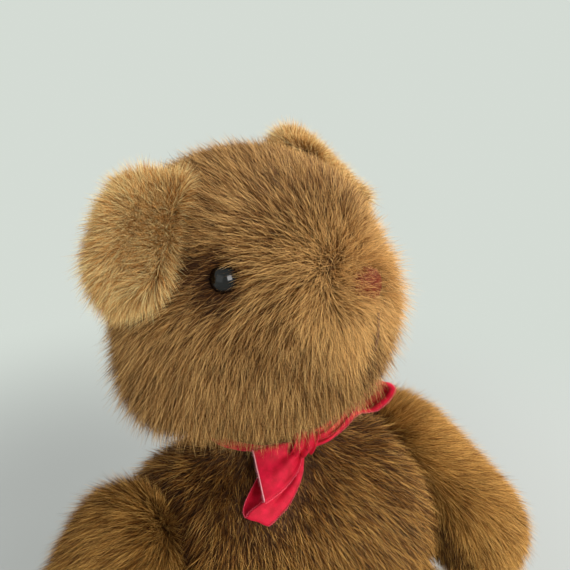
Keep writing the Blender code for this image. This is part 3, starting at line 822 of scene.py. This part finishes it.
arch = [(math.cos(t) * 0.85, math.sin(t), 0) for t in np.linspace(0, math.pi, 5)]
picotLoop = tubeAlong("picotLoop", arch, [0.24] * 5)
frayThread = tubeAlong("frayThread", [(0, 0, 0), (0.05, 0.5, 0.05), (-0.1, 1, 0.2)], [0.08, 0.06, 0.02])


# The loop that hangs in front: down from the knot and up again behind

fall = {
    "rows": 46,
    "left": ((-7.8, -2.0, 3.9), (-14.4, 7.9, -2.1), (-21.1, 21.1, -8.6), (-27.2, 26.3, -11.7),
             (-29.5, 26.7, -14.6), (-30.6, 20.7, -13.8), (-27.7, 12.5, -10.4), (-21.9, 3.7, -5.0),
             (-10.6, -3.4, 0.2)),
    "right": ((-3.1, -2.0, 1.2), (-3.7, 4.7, -4.8), (-6.1, 12.2, -8.4), (-11.6, 21.2, -13.4),
              (-19.7, 27.6, -18.4), (-12.5, 17.3, -16.9), (-6.5, 7.2, -12.6), (-4.0, 0.6, -8.2),
              (-3.5, -4.3, -2.5)),
    "pleats": 1.5,
    "wander": 0.3,
    "deep": (0.0018, 0.0002, 0.0031),  # at the knot, in front and behind
    "front": (0.16, 0.40),
    "behind": (0.53, 0.66),
}


def foldFall():
    left, right = (atKnot(throughPoints(fall[side], fall["rows"])) for side in ("left", "right"))
    rows = np.linspace(0, 1, fall["rows"])
    tied, front, behind = fall["deep"]
    deep = tied + (front - tied) * smooth(rows, *fall["front"])
    deep += (behind - front) * smooth(rows, *fall["behind"])
    piece, points = ribbonStrip("ribbonFall", left, right, fall, deep)
    return piece, points, "folded", "ribbon_fall", picots("ribbonFallEdge", points)


# The tail: cut across, with a pale and frayed end

tail = {
    "rows": 30,
    "top": ((-5.9, -3.5, 6.2), (-13.0, -1.4, 6.5), (-20.0, 0.1, 5.8), (-27.0, 1.1, 4.3)),
    "low": ((-3.7, 0.5, 3.4), (-6.1, 7.8, -2.2), (-12.5, 16.5, -6.0), (-21.0, 24.5, -8.2)),
    "pleats": 2.0,
    "wander": 0.4,
    "deep": (0.0014, 0.0003),
    "fray": 0.0010,
    "frayPitch": 0.00035,
    "fraySpread": 0.45,
    "frayLean": 0.55,
    "hem": 0.00032,
    "hemPitch": 0.0008,
}


def foldTail():
    top, low = (atKnot(throughPoints(tail[side], tail["rows"])) for side in ("top", "low"))
    tied, end = tail["deep"]
    deep = tied + (end - tied) * smooth(np.linspace(0, 1, tail["rows"]), 0.1, 0.9)
    piece, points = ribbonStrip("ribbonTail", top, low, tail, deep)
    edges = picots("ribbonTailEdge", points)
    ends = evenly(points[-1], tail["frayPitch"])
    inner = evenly(points[-2], measured(points[-2])[-1] / len(ends))[:len(ends)]
    ends = ends[:len(inner)]
    frayed = trimEdge("ribbonFray", ends, np.gradient(ends, axis=0), unit(ends - inner), frayThread,
                      tail["fray"], tail["fraySpread"], tail["frayLean"], 9, paleThread)
    hem = sewThreads("ribbonHem", [evenly(points[-1], tail["hemPitch"])], tail["hem"], 6, paleThread)
    return piece, points, "draped", "ribbon_tail", edges, frayed, hem


# The loop at the side: narrow and twisted at first, then open

sideLoop = {
    "rows": 70,
    "path": ((-1.5, -1.0, 7.0), (6.0, -3.0, 9.0), (12.3, -7.0, 11.6), (17.5, -11.0, 13.9),
             (22.2, -15.0, 15.0), (30.5, -19.0, 14.2), (37.0, -21.0, 19.3), (38.9, -21.0, 25.3),
             (33.0, -19.0, 29.3), (26.0, -16.5, 26.8), (21.5, -15.0, 19.8), (17.0, -12.0, 15.6),
             (12.0, -8.0, 13.2), (6.0, -4.0, 11.2), (-1.5, -2.0, 9.0)),
    "halfWide": (3.2, 9.7),  # narrow and open
    "opening": (14, 25),     # across from the knot
    "inwards": (-0.75, -1.0, -0.45),
    "further": 7.0,          # inwards, of the open part
    "twist": 1.1,
    "twistEnds": (6, 20),
    "twisted": (-0.4, 0, 0.9),
    "pleats": 2.0,
    "wander": 0.4,
    "deep": (0.0020, 0.0011),
}


def openLoop():
    path = throughPoints(sideLoop["path"], sideLoop["rows"])
    opened = smooth(path[:, 0], *sideLoop["opening"])
    narrow, broad = sideLoop["halfWide"]
    half = (narrow + (broad - narrow) * opened)[:, None]
    inwards = unit(np.array(sideLoop["inwards"]))
    twist = (sideLoop["twist"] * (1 - smooth(path[:, 0], *sideLoop["twistEnds"])))[:, None]
    wide = np.cos(twist) * inwards + np.sin(twist) * np.array(sideLoop["twisted"])
    shift = path + (opened * sideLoop["further"])[:, None] * inwards
    left, right = atKnot(shift - wide * half), atKnot(shift + wide * half)
    tied, loose = sideLoop["deep"]
    piece, points = ribbonStrip("ribbonLoop", left, right, sideLoop, tied + (loose - tied) * opened)
    return piece, points, "folded", "ribbon_loop", picots("ribbonLoopEdge", points)


# The knot: the ribbon wrapped round, with deep folds that run aslant

knot = {"rows": 41, "sides": (-8.24, 1.76), "radii": (5.0, 5.4), "middle": (-0.4, 7.0), "slant": 0.35,
        "pleats": 2.5, "wander": 0.9, "deep": 0.0012}


def tieKnot():
    turns = np.linspace(0, 2 * math.pi, knot["rows"])
    out = knot["radii"][0] * np.cos(turns)
    rise = knot["radii"][1] * np.sin(turns)
    left, right = (atKnot(np.column_stack((side + knot["slant"] * rise, out, rise)) + (0, *knot["middle"]))
                   for side in knot["sides"])
    piece, points = ribbonStrip("ribbonKnot", left, right, knot, knot["deep"])
    return piece, points, "folded", "ribbon_knot"


# The band round the neck, gathered narrow

band = {"rows": 129, "heights": (0.1858, 0.1880), "outside": 0.09, "reach": 0.045, "gap": 0.0004,
        "pleats": 4.0, "wander": 0.6, "deep": 0.0011}


def wrapBand():
    under = surfaceOf(frame["nodes"]["ribbon_band"])
    edges = []
    for height in band["heights"]:
        line, reach = [], band["reach"]
        for turn in np.linspace(0, 2 * math.pi, band["rows"]):
            away = Vector((math.cos(turn), math.sin(turn), 0))
            hit = under.ray_cast(Vector((0, 0, height)) + away * band["outside"], -away)[0]
            reach = hit.xy.length if hit is not None else reach
            line.append(Vector((0, 0, height)) + away * (reach + band["gap"]))
        edges.append(np.array(line))
    piece, points = ribbonStrip("ribbonBand", *edges, band, band["deep"])
    return piece, points, "gathered", "ribbon_band"


ribbonPieces = []
for fold in (foldFall, foldTail, openLoop, tieKnot, wrapBand):
    piece, points, held, node, *trims = fold()
    length = measured(points[:, points.shape[1] // 2])[-1]
    real = sum(face.area for face in piece.data.polygons) / 2
    print("ribbon", piece.name, "share of flat", round(real / (length * ribbon["width"]), 2))
    finishRibbon(piece, length, held, [] if held == "folded" else ["body_cover"], node, *trims)
    ribbonPieces.append(piece)
bpy.data.objects.remove(picotLoop)
bpy.data.objects.remove(frayThread)
ribbonSurface = surfaceOf(*ribbonPieces)
bowSurface = surfaceOf(*ribbonPieces[:-1])


# Eyes: black domes with a stem

eyes = {
    "radius": 0.0062,
    "dome": 0.0036,
    "turns": 48,
    "rings": 20,
    "back": ((0.0061, 0.0005), (0.0022, 0.0007), (0.0022, 0.0040)),  # radii and how far below the dome
}


def latheEye(side):
    cad = corners(frame["nodes"]["eye_" + side].data)
    seat = corners(frame["nodes"]["eye_washer_" + side].data)
    axis = unit(cad.mean(0) - seat.mean(0))
    top = cad.mean(0) + axis * ((cad - cad.mean(0)) @ axis).max()
    ball = (eyes["radius"] ** 2 + eyes["dome"] ** 2) / (2 * eyes["dome"])
    reach = np.linspace(0, math.asin(eyes["radius"] / ball), eyes["rings"])[1:]
    profile = [(ball * math.sin(turn), ball * (math.cos(turn) - 1)) for turn in reach]
    profile += [(out, -eyes["dome"] - down) for out, down in eyes["back"]]
    first = unit(np.cross(axis, (0.3, 0.2, 0.9)))
    second = np.cross(axis, first)
    points = [top]
    for out, down in profile:
        for k in range(eyes["turns"]):
            turn = 2 * math.pi * k / eyes["turns"]
            points.append(top + axis * down + (first * math.cos(turn) + second * math.sin(turn)) * out)
    points.append(top + axis * profile[-1][1])
    many, faces = eyes["turns"], []
    for k in range(many):
        after = (k + 1) % many
        faces.append((0, 1 + k, 1 + after))
        for ring in range(len(profile) - 1):
            a, b = 1 + ring * many, 1 + (ring + 1) * many
            faces.append((a + k, b + k, b + after, a + after))
        end = 1 + (len(profile) - 1) * many
        faces.append((end + after, end + k, len(points) - 1))
    made = addObject("eye_" + side + "_dome", meshFrom("eye", points, faces))
    made.data.materials.append(eyeBlack)
    made.data.shade_smooth()
    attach(made, "head")
    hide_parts("eye_" + side)
    return made, top - axis * eyes["dome"], axis


eyeDomes = [latheEye(side) for side in ("left", "right")]
print("eyes ready")


# Nose: satin stitch over the felt, and a stitched mouth below it

nose = {
    "rise": math.radians(26),
    "threads": 25,
    "steps": 11,
    "thread": 0.00042,
    "halfWide": 0.0082,
    "halfTall": 0.0080,
    "within": 0.97,         # of its half width
    "over": 0.0004,         # past its edge
    "lean": 0.0010,
    "leanAt": 0.009,
    "bob": 0.0005,
    "raised": 0.00025,
    "tuckIn": 0.0012,
    "tuckOut": 0.0003,
    "pressed": 0.86,        # of the full nose, as the thread draws it in
    "sunk": 0.0016,
}
noseOut = headTurn @ np.array((0, -math.cos(nose["rise"]), math.sin(nose["rise"])))
noseUp = headTurn @ np.array((0, math.sin(nose["rise"]), math.cos(nose["rise"])))
noseAcross = headTurn @ np.array((1.0, 0, 0))
noseMiddle = nodeMiddle("nose")


def stitchNose():
    base = addObject("nose_felt", frame["nodes"]["nose"].data.copy())
    points = (corners(base.data) - noseMiddle) * nose["pressed"] + noseMiddle - noseOut * nose["sunk"]
    setCorners(base.data, points)
    base.data.materials.clear()
    base.data.materials.append(noseFelt)
    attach(base, "head")
    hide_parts("nose")
    felt = surfaceOf(base)
    chance = np.random.default_rng(17)
    lines = []
    for k in range(nose["threads"]):
        across = (k / (nose["threads"] - 1) * 2 - 1) * nose["halfWide"] * nose["within"]
        tall = nose["halfTall"] * math.sqrt(max(0.0, 1 - (across / nose["halfWide"]) ** 2)) + nose["over"]
        lean, bob = chance.uniform(-nose["lean"], nose["lean"]), chance.uniform(-nose["bob"], nose["bob"])
        line = []
        for up in np.linspace(tall, -tall, nose["steps"]):
            spot = noseMiddle + noseAcross * (across + lean * up / nose["leanAt"]) + noseUp * (up + bob)
            hit = felt.ray_cast(Vector(spot + noseOut * 0.02), Vector(-noseOut), 0.03)[0]
            if hit is not None:
                line.append(np.array(hit) + noseOut * nose["raised"])
        if len(line) > 2:
            first, last = (end - noseOut * nose["tuckIn"] for end in (line[0], line[-1]))
            lines.append([first + noseUp * nose["tuckOut"], *line, last - noseUp * nose["tuckOut"]])
    threads = sewThreads("noseThreads", lines, nose["thread"], 8, noseSilk)
    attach(threads, "head")


stitchNose()
print("nose stitched")


# Soles: whip stitches round their edges

whipStitch = {
    "bins": 72,
    "stitches": 60,
    "thread": 0.0003,
    # Each stitch: past the rim, above the sole and round it.
    "stitch": ((-0.0030, -0.0006, 0.0), (-0.0026, 0.0002, 0.0), (-0.0010, 0.0004, 0.03),
               (0.0002, -0.0002, 0.03), (0.0008, -0.0014, 0.03)),
}


def stitchSole(side):
    points = corners(frame["nodes"]["sole_" + side].data)
    middle = points.mean(0)
    out = np.linalg.svd(points - middle, full_matrices=False)[2][2]
    out = out * np.sign(out.dot(middle - nodeMiddle("leg_" + side + "_stuffing")))
    rise = unit(np.array((0, 0, 1)) - out * out[2])
    across = np.cross(out, rise)
    flat = np.column_stack(((points - middle) @ across, (points - middle) @ rise))
    turns, reach = np.arctan2(flat[:, 1], flat[:, 0]), np.hypot(flat[:, 0], flat[:, 1])
    bins = np.linspace(-math.pi, math.pi, whipStitch["bins"] + 1)
    rim = []
    for low, high in zip(bins[:-1], bins[1:]):
        inside = (turns >= low) & (turns < high)
        if inside.any():
            rim.append(((low + high) / 2, reach[inside].max()))
    rim = np.array(rim)
    front = ((points - middle) @ out).max()
    lines = []
    for start in np.linspace(-math.pi, math.pi, whipStitch["stitches"] + 1)[:-1]:
        far = np.interp(start, rim[:, 0], rim[:, 1], period=2 * math.pi)
        line = []
        for past, lift, ahead in whipStitch["stitch"]:
            away = across * math.cos(start + ahead) + rise * math.sin(start + ahead)
            line.append(middle + out * (front + lift) + away * (far + past))
        lines.append(line)
    made = sewThreads("soleThreads_" + side, lines, whipStitch["thread"], 6, mouthThread)
    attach(made, "leg_" + side)


stitchSole("left")
stitchSole("right")


# Ears before the head, for the head's pile stops at them

ears = {
    "hairs": 24000,
    "hairLength": 0.0124,
    "hairWidth": 0.00014,
    "tip": (0.691, 0.585, 0.423),
    "facing": (0.329, -0.777, 0.537),
    "halfTall": 0.029,
    "spread": 1.0,          # the plush widens at the seam
    "lift": 1.5,            # and stands off the head there, most at the top
    "slant": (0.35, 1.50),  # above and below the ear's middle
    "seam": (-0.010, 0.010),  # the nap starts this far out and up from the ear's middle
}
earSkins = {}


def earWays(side):
    mirror = np.array((1 if side == "left" else -1, 1, 1))
    return headTurn @ (ears["tip"] * mirror), headTurn @ (ears["facing"] * mirror)


def spreadEar(skin, side):
    tip, facing = earWays(side)
    points = corners(skin.data)
    near = points - nodeMiddle("ear_" + side)
    inner = np.maximum(0, -near @ tip)[:, None]
    upwards = np.cross(tip, facing) * (1 if side == "right" else -1)
    rise = np.clip(near @ upwards / ears["halfTall"], -1, 1)[:, None]
    slant = np.where(rise > 0, *ears["slant"])
    spread = ears["spread"] * (1 - 0.45 * rise * rise) + slant * rise
    points += facing * inner * ears["lift"] * (1 + 0.35 * rise) - tip * inner * spread
    setCorners(skin.data, points)
    return skin


for side in ("left", "right"):
    earSkins[side] = spreadEar(fillSkin(skinFrom("ear_" + side + "_pad", ["ear_" + side])), side)
earSurface = surfaceOf(*earSkins.values())


def combEar(skin, side):
    # The nap spreads from a place near the ear's seam and hangs over.
    points = corners(skin.data)
    tip, _ = earWays(side)
    out, up = ears["seam"]
    away = points - (nodeMiddle("ear_" + side) + tip * out + np.array((0, 0, up)))
    far = np.linalg.norm(away, axis=1)
    flow = unit(away) + np.outer(0.35 + 0.3 * smooth(-away[:, 2], 0, 0.03), (0, 0, -1))
    low = smooth(-away @ tip, 0, 0.01) * smooth(-away[:, 2], 0.018, 0.030)
    length = (0.85 + 0.2 * smooth(far, 0.01, 0.03)) * (1 - 0.5 * low)
    tone = 0.16 + 0.14 * smooth(far, 0.006, 0.030)
    setNap(skin, flow, length, tone, 1.0, 0.06 + 0.50 * smooth(far, 0.004, 0.020))


jawShape = {
    "pressed": 0.0055,       # above the knot
    "middle": 0.003,
    "pressedReach": (0.010, 0.027),
    "beside": (0.020, 0.050),
    "heights": (0.196, 0.238),
    "fromNeck": (0.042, 0.054),
    "wider": 0.0045,
    "lower": 0.0030,
}


def liftJaw(skin):
    # The tied ribbon presses the jaw in above its knot, and it sags at both sides.
    points = corners(skin.data)
    around = (points - knotMiddle - bowAcross * jawShape["middle"]) * (0.8, 0.8, 1)
    near = 1 - smooth(np.linalg.norm(around, axis=1), *jawShape["pressedReach"])
    points[:, 2] += jawShape["pressed"] * near
    aside = (points - neckPlace) @ bowAcross
    sag = smooth(np.abs(aside), *jawShape["beside"]) * (1 - smooth(points[:, 2], *jawShape["heights"]))
    sag *= smooth(np.hypot(*inHead(points)[:, :2].T), *jawShape["fromNeck"])
    points += np.outer(jawShape["wider"] * sag * np.sign(aside), bowAcross)
    points[:, 2] -= jawShape["lower"] * sag * (1 - near)
    setCorners(skin.data, points)
    return skin


def sweptGap(points):
    # How near the knot, tail and band come as the head turns right round.
    swept = [corners(piece.data) for piece in ribbonPieces if piece.name not in ("ribbonLoop", "ribbonFall")]
    rings = inHead(np.concatenate(swept))[::12]
    rings, ours = (np.column_stack((np.hypot(some[:, 0], some[:, 1]), some[:, 2]))
                   for some in (rings, points))
    return np.concatenate([np.linalg.norm(some[:, None] - rings, axis=2).min(axis=1)
                           for some in np.array_split(ours, 60)])


# The head's nap. Most pairs say where a change starts and where it is whole.

faceNap = {
    "hang": (0.045, 0.095),
    "muzzle": (0.020, 0.042),
    "muzzleTone": 0.66,
    "leftSide": (0.006, 0.024),  # the muzzle's left side is longer and looser
    "whorl": (0.004, 0.016),
    "eyeBare": (0.0044, 0.0054),
    "eyeShort": (0.006, 0.016),
    "eyeRingShade": (0.007, 0.016),
    "noseSize": (0.0095, 0.0082),
    "noseBare": (0.62, 0.72),
    "noseOver": (0.0005, 0.0030),  # the pile lies over one side of the nose
    "cleft": (0.0015, 0.0050),
    "cleftLow": (0.040, 0.050),
    "cleftHigh": (0.060, 0.070),
    "chinShade": (0.030, 0.065),
    "neckShade": (0.000, 0.026),
    "earBare": (0.0012, 0.0020),
    "earShort": (0.003, 0.015),
    "browPlace": 0.104,
    "browSize": (0.020, 0.012),
    "jaw": (0.025, 0.075),
    "bowGap": 0.014,
    "sweptGap": 0.012,
    "neckBare": (0.030, 0.012),    # round the neck, and up from it
}


def combEyes(nap, world):
    for _, seat, axis in eyeDomes:
        near = world - seat
        beside = np.linalg.norm(near - np.outer(near @ axis, axis), axis=1)
        beside = np.where(np.linalg.norm(near, axis=1) < 0.02, beside, 0.02)
        nap["cover"] *= smooth(beside, *faceNap["eyeBare"])
        nap["length"] *= 0.62 + 0.38 * smooth(beside, *faceNap["eyeShort"])
        # Painted shade in a ring of pile round each eye.
        nap["tone"] -= 0.60 * (1 - smooth(beside, *faceNap["eyeRingShade"]))


def combNose(nap, world, points, fromNose):
    onNose = world - noseMiddle
    wide, tall = faceNap["noseSize"]
    flat = np.where(fromNose < 0.02, np.hypot(onNose @ noseAcross / wide, onNose @ noseUp / tall), 3)
    over = smooth(-onNose @ noseAcross, *faceNap["noseOver"])
    nap["cover"] *= smooth(flat + 0.75 * over, *faceNap["noseBare"])
    beside = (1 - smooth(flat, 1.2, 2.4)) * smooth(onNose @ noseUp, -0.012, -0.002)
    nap["flow"] += np.outer(2.2 * beside * -np.sign(points[:, 0]), (1, 0, 0))
    nap["length"] *= 1 + 0.30 * beside
    nap["lay"] -= 0.22 * beside


def combMouth(nap, points):
    # Painted shade in a cleft below the nose, where the pile is also thinner, and painted shade under the chin and
    # at the neck.
    sides, back, high = points.T
    cleft = (1 - smooth(np.abs(sides), *faceNap["cleft"])) * (back < -0.04)
    cleft *= smooth(high, *faceNap["cleftLow"]) * (1 - smooth(high, *faceNap["cleftHigh"]))
    nap["cover"] *= 1 - 0.7 * cleft
    nap["tone"] -= 0.8 * cleft + 0.12 * (1 - smooth(high, *faceNap["chinShade"]))
    nap["tone"] -= 0.30 * (1 - smooth(high, *faceNap["neckShade"]))


def combAtEars(nap, world, points):
    gap = gapsTo(earSurface, world)
    low = 1 - smooth(points[:, 2], 0.095, 0.115)
    nap["cover"] *= smooth(gap, *faceNap["earBare"])
    nap["length"] *= 0.35 + 0.65 * smooth(gap, *faceNap["earShort"])
    # Painted shade on the head beside the ears, deeper low down.
    nap["tone"] -= (0.55 + 0.25 * low) * (1 - smooth(gap, 0.004 + 0.004 * low, 0.014 + 0.005 * low))


def combAtBow(nap, world, points, normals):
    # Long at the jaw's sides, and short wherever the bow lies or the turning head would meet it.
    facing = normals @ headTurn
    sideways = smooth(np.hypot(facing[:, 0], facing[:, 1]), 0.5, 0.9)
    sideways *= 1 - smooth(points[:, 2], *faceNap["jaw"])
    gap = np.clip((gapsTo(bowSurface, world) - 0.0015) / faceNap["bowGap"], 0.12, 1.0)
    nap["length"] *= (1 + 0.35 * sideways) * gap * np.clip(sweptGap(points) / faceNap["sweptGap"], 0.45, 1.0)
    nap["lay"] -= 0.20 * sideways
    radius, height = faceNap["neckBare"]
    neck = (points[:, 2] < height) & (np.hypot(points[:, 0], points[:, 1]) < radius)
    nap["cover"] *= np.where(neck, 0.0, 1.0)


def combHead(skin):
    # The nap parts above the nose, sweeps back over the head and hangs at the cheeks.
    world = corners(skin.data)
    points = inHead(world)
    wide, forward, high = head["bridge"]
    start = np.where(points[:, :1] < 0, (-wide, forward, high), (wide, forward, high))
    fromNose = np.linalg.norm(points - inHead(noseMiddle), axis=1)
    hang = 1 - smooth(points[:, 2], *faceNap["hang"])
    onMuzzle = 1 - smooth(fromNose, *faceNap["muzzle"])
    leftSide = smooth(points[:, 0], *faceNap["leftSide"]) * onMuzzle
    whorl = 1 - smooth(np.linalg.norm(points - start, axis=1), *faceNap["whorl"])
    broad, tall = faceNap["browSize"]
    brow = np.abs(points[:, 0]) / broad + np.abs(points[:, 2] - faceNap["browPlace"]) / tall
    nap = {
        "flow": unit(points - start) * (1 - 0.85 * hang)[:, None]
                + np.outer(hang * (1 - 0.35 * onMuzzle), (0, 0, -1)),
        "length": 0.80 + 0.20 * smooth(fromNose, 0.012, 0.050) + 0.42 * leftSide,
        "tone": faceNap["muzzleTone"] * onMuzzle - 0.16 * (1 - smooth(brow, 0.4, 1.6)) * (points[:, 1] < 0),
        "cover": np.ones(len(points)),
        "lay": 0.80 - 0.26 * leftSide - 0.20 * onMuzzle - 0.30 * whorl,
    }
    combEyes(nap, world)
    combNose(nap, world, points, fromNose)
    combMouth(nap, points)
    combAtEars(nap, world, points)
    combAtBow(nap, world, points, normalsOf(skin.data))
    nap["flow"] = nap["flow"] @ headTurn.T
    setNap(skin, **nap)


faceParts = surfaceOf(*(thing[0] for thing in eyeDomes), frame["nodes"]["nose"], frame["nodes"]["mouth"])
headSkin = fillSkin(skinFrom("head_pad", ["head_cover", "head_stuffing"]), faceParts)
combHead(liftJaw(headSkin))
growCoats("head", headSkin, "head", brownFur, head, 101, ("under", "pile", "guard"))
finishSkin(headSkin, "head", backing, "plush", 0.9, "head_cover", "head_stuffing")
for side, seed in (("left", 211), ("right", 251)):
    skin = earSkins[side]
    combEar(skin, side)
    growCoats("ear_" + side, skin, "head", goldenFur, ears, seed, ("under", "pile"))
    finishSkin(skin, "head", goldenBacking, "ear_plush", 0.8, "ear_" + side)


# Body, arms and legs

bodyNap = {
    "hairs": 50000,
    "hairLength": 0.0120,
    "hairWidth": 0.00015,
    "tone": -0.02,
    "lay": 0.80,
    "seat": (0.002, 0.02),      # shorter where it sits
    "top": (0.1830, 0.1850),
    "neckShade": (0.160, 0.184),
    "armShade": (0.004, 0.017),
}
limbNap = {
    "hairs": 38000,
    "hairLength": 0.0138,
    "hairWidth": 0.00014,
    # The left arm is lightened: painted light, on the side towards the top lamp.
    "tone": {"arm_left": 0.24, "arm_right": 0.03, "leg_left": 0.03, "leg_right": 0.03},
    "lay": 0.80,
    "inner": (-0.01, 0.06),
    "joint": (0.001, 0.010),    # bare towards it, where the limb lies on the body
    "seat": (0.002, 0.02),
    "soleBare": (0.0022, 0.0034),
    "soleShort": (0.002, 0.012),
}


def combBody(skin):
    world = corners(skin.data)
    flow = np.zeros_like(world)
    flow[:, 2] = -1
    flow += 0.35 * unit(world * np.array((1, 1, 0)))
    length = 0.35 + 0.65 * smooth(world[:, 2], *bodyNap["seat"])
    length *= np.clip(gapsTo(ribbonSurface, world) / 0.011, 0.22, 1.0)
    cover = 1 - smooth(world[:, 2], *bodyNap["top"])
    # Painted shade under the head, and beside the arms.
    tone = bodyNap["tone"] - 0.25 * smooth(world[:, 2], *bodyNap["neckShade"])
    for name in ("arm_right", "arm_left"):
        arm = surfaceOf(frame["nodes"][name + "_cover"])
        tone -= 0.55 * (1 - smooth(gapsTo(arm, world), *bodyNap["armShade"]))
    setNap(skin, flow, length, tone, cover, bodyNap["lay"])


bodySkin = fillSkin(skinFrom("body_pad", ["body_cover", "body_stuffing"]))
combBody(bodySkin)
growCoats("body", bodySkin, "body", bodyFur, bodyNap, 311, ("under", "pile"))
finishSkin(bodySkin, "body", backing, "plush", 0.85, "body_cover", "body_stuffing")


def dressLimb(name, joint, seed, sole=None):
    held = surfaceOf(frame["nodes"][sole]) if sole else None
    skin = fillSkin(skinFrom(name + "_pad", [name + "_cover", name + "_stuffing", joint + "_disc"]), held)
    world = corners(skin.data)
    pivot = np.array(joints[name]["pos_m"])
    out = np.array(joints[name]["axis"])
    out = out * np.sign(out[0] * pivot[0])
    along = unit(world.mean(0) - pivot)
    along = along - out * along.dot(out)
    inner = 1 - smooth((world - pivot) @ along, *limbNap["inner"])
    flow = along + inner[:, None] * out * 1.8 + np.array((0, 0, -0.30))
    outer = smooth((world - pivot) @ out, *limbNap["joint"])
    length = (0.45 + 0.55 * outer) * (0.5 + 0.5 * smooth(world[:, 2], *limbNap["seat"]))
    cover = 0.12 + 0.88 * outer
    if held:
        gap = gapsTo(held, world)
        cover *= smooth(gap, *limbNap["soleBare"])
        length *= 0.45 + 0.55 * smooth(gap, *limbNap["soleShort"])
    setNap(skin, flow, length, limbNap["tone"][name], cover, limbNap["lay"])
    growCoats(name, skin, name, bodyFur, limbNap, seed, ("under", "pile"))
    finishSkin(skin, name, backing, "plush", 0.85, name + "_cover", name + "_stuffing")


dressLimb("arm_right", "shoulder_right", 411)
dressLimb("arm_left", "shoulder_left", 431)
dressLimb("leg_right", "hip_right", 451, "sole_right")
dressLimb("leg_left", "hip_left", 471, "sole_left")
bpy.data.objects.remove(fineBlade)
bpy.data.objects.remove(bentBlade)


# Light, floor and camera

studio = {
    "floor": -0.0035,       # the soles rest on it
    "floorColour": (0.46, 0.48, 0.46, 1),
    "fade": (0.28, 0.60),   # from the middle, where the floor turns into the wall
    "wall": (0.66, 0.71, 0.66, 1),
    "sky": (0.95, 0.98, 1.0, 1),
    "ambient": 0.36,
    "aim": (0, 0, 0.2),
    # Each lamp: its place, power, size and colour.
    "lamps": {
        "windowLight": ((-0.05, -1.45, 0.90), 19.5, 0.85, (1.0, 0.985, 0.96)),
        "topLight": ((1.10, -0.15, 1.12), 21.0, 0.8, (1.0, 0.99, 0.97)),
        "fillLight": ((-1.37, -0.41, 0.7), 2.5, 1.2, (0.95, 0.98, 1.0)),
    },
}
view = {
    "azimuth": math.radians(-34.2),
    "elevation": math.radians(22.0),
    "aim": (0.0134925, 0.0060093, 0.2520049),
    "distance": 0.42,
    "lens": 53.9,
}


def mixShaders(tree, share, first, second):
    return feedInOrder(tree, tree.nodes.new("ShaderNodeMixShader"), (share, first, second))[0]


def buildBackdrop():
    # Seen, it is the wall. Otherwise it is soft light from all round.
    world = bpy.data.worlds.new("studio")
    bpy.context.scene.world = world
    world.use_nodes = True
    tree = world.node_tree
    tree.nodes.clear()
    rays = tree.nodes.new("ShaderNodeLightPath").outputs
    seen = number(tree, "MAXIMUM", rays["Is Camera Ray"],
                  number(tree, "MAXIMUM", rays["Is Glossy Ray"], rays["Is Transmission Ray"]))
    lit = outOf(tree, "ShaderNodeBackground", Color=studio["sky"], Strength=studio["ambient"])
    wall = outOf(tree, "ShaderNodeBackground", Color=studio["wall"], Strength=1.0)
    ending = tree.nodes.new("ShaderNodeOutputWorld")
    join(tree, mixShaders(tree, seen, lit, wall), ending.inputs[0])


def softLamp(name, place, power, size, colour):
    data = bpy.data.lights.new(name, "AREA")
    data.energy = power
    data.size = size
    data.color = colour
    lamp = addObject(name, data)
    lamp.location = place
    lamp.rotation_euler = (Vector(studio["aim"]) - Vector(place)).to_track_quat("-Z", "Y").to_euler()


def buildFloor():
    # Pale, and away from the bear it takes the wall's own light.
    shape = bmesh.new()
    bmesh.ops.create_circle(shape, cap_ends=True, segments=96, radius=6)
    mesh = bpy.data.meshes.new("floor")
    shape.to_mesh(mesh)
    shape.free()
    floor = addObject("floor", mesh)
    floor.location.z = studio["floor"]
    made, tree, shader = newMaterial("floor")
    feed(tree, shader, Base_Color=studio["floorColour"], Roughness=0.9)
    far = outOf(tree, "ShaderNodeMapRange", {"interpolation_type": "SMOOTHSTEP"},
                Value=vector(tree, "LENGTH", objectPlace(tree)), From_Min=studio["fade"][0],
                From_Max=studio["fade"][1])
    glow = outOf(tree, "ShaderNodeEmission", Color=studio["wall"], Strength=1.0)
    join(tree, mixShaders(tree, far, shader.outputs[0], glow), tree.nodes["Material Output"].inputs[0])
    mesh.materials.append(made)


def buildCamera():
    azimuth, elevation = view["azimuth"], view["elevation"]
    aim = Vector(view["aim"])
    back = Vector((math.sin(azimuth) * math.cos(elevation), -math.cos(azimuth) * math.cos(elevation),
                   math.sin(elevation)))
    right = (-back).cross(Vector((0, 0, 1))).normalized()
    up = right.cross(-back)
    data = bpy.data.cameras.new("camera")
    data.sensor_width = 36
    data.lens = view["lens"]
    camera = addObject("camera", data)
    turn = Matrix((right, up, back)).transposed().to_4x4()
    camera.matrix_world = Matrix.Translation(aim + back * view["distance"]) @ turn
    bpy.context.scene.camera = camera


buildBackdrop()
for name, values in studio["lamps"].items():
    softLamp(name, *values)
buildFloor()
buildCamera()
bpy.context.scene.view_settings.view_transform = "Standard"

print("scene ready")
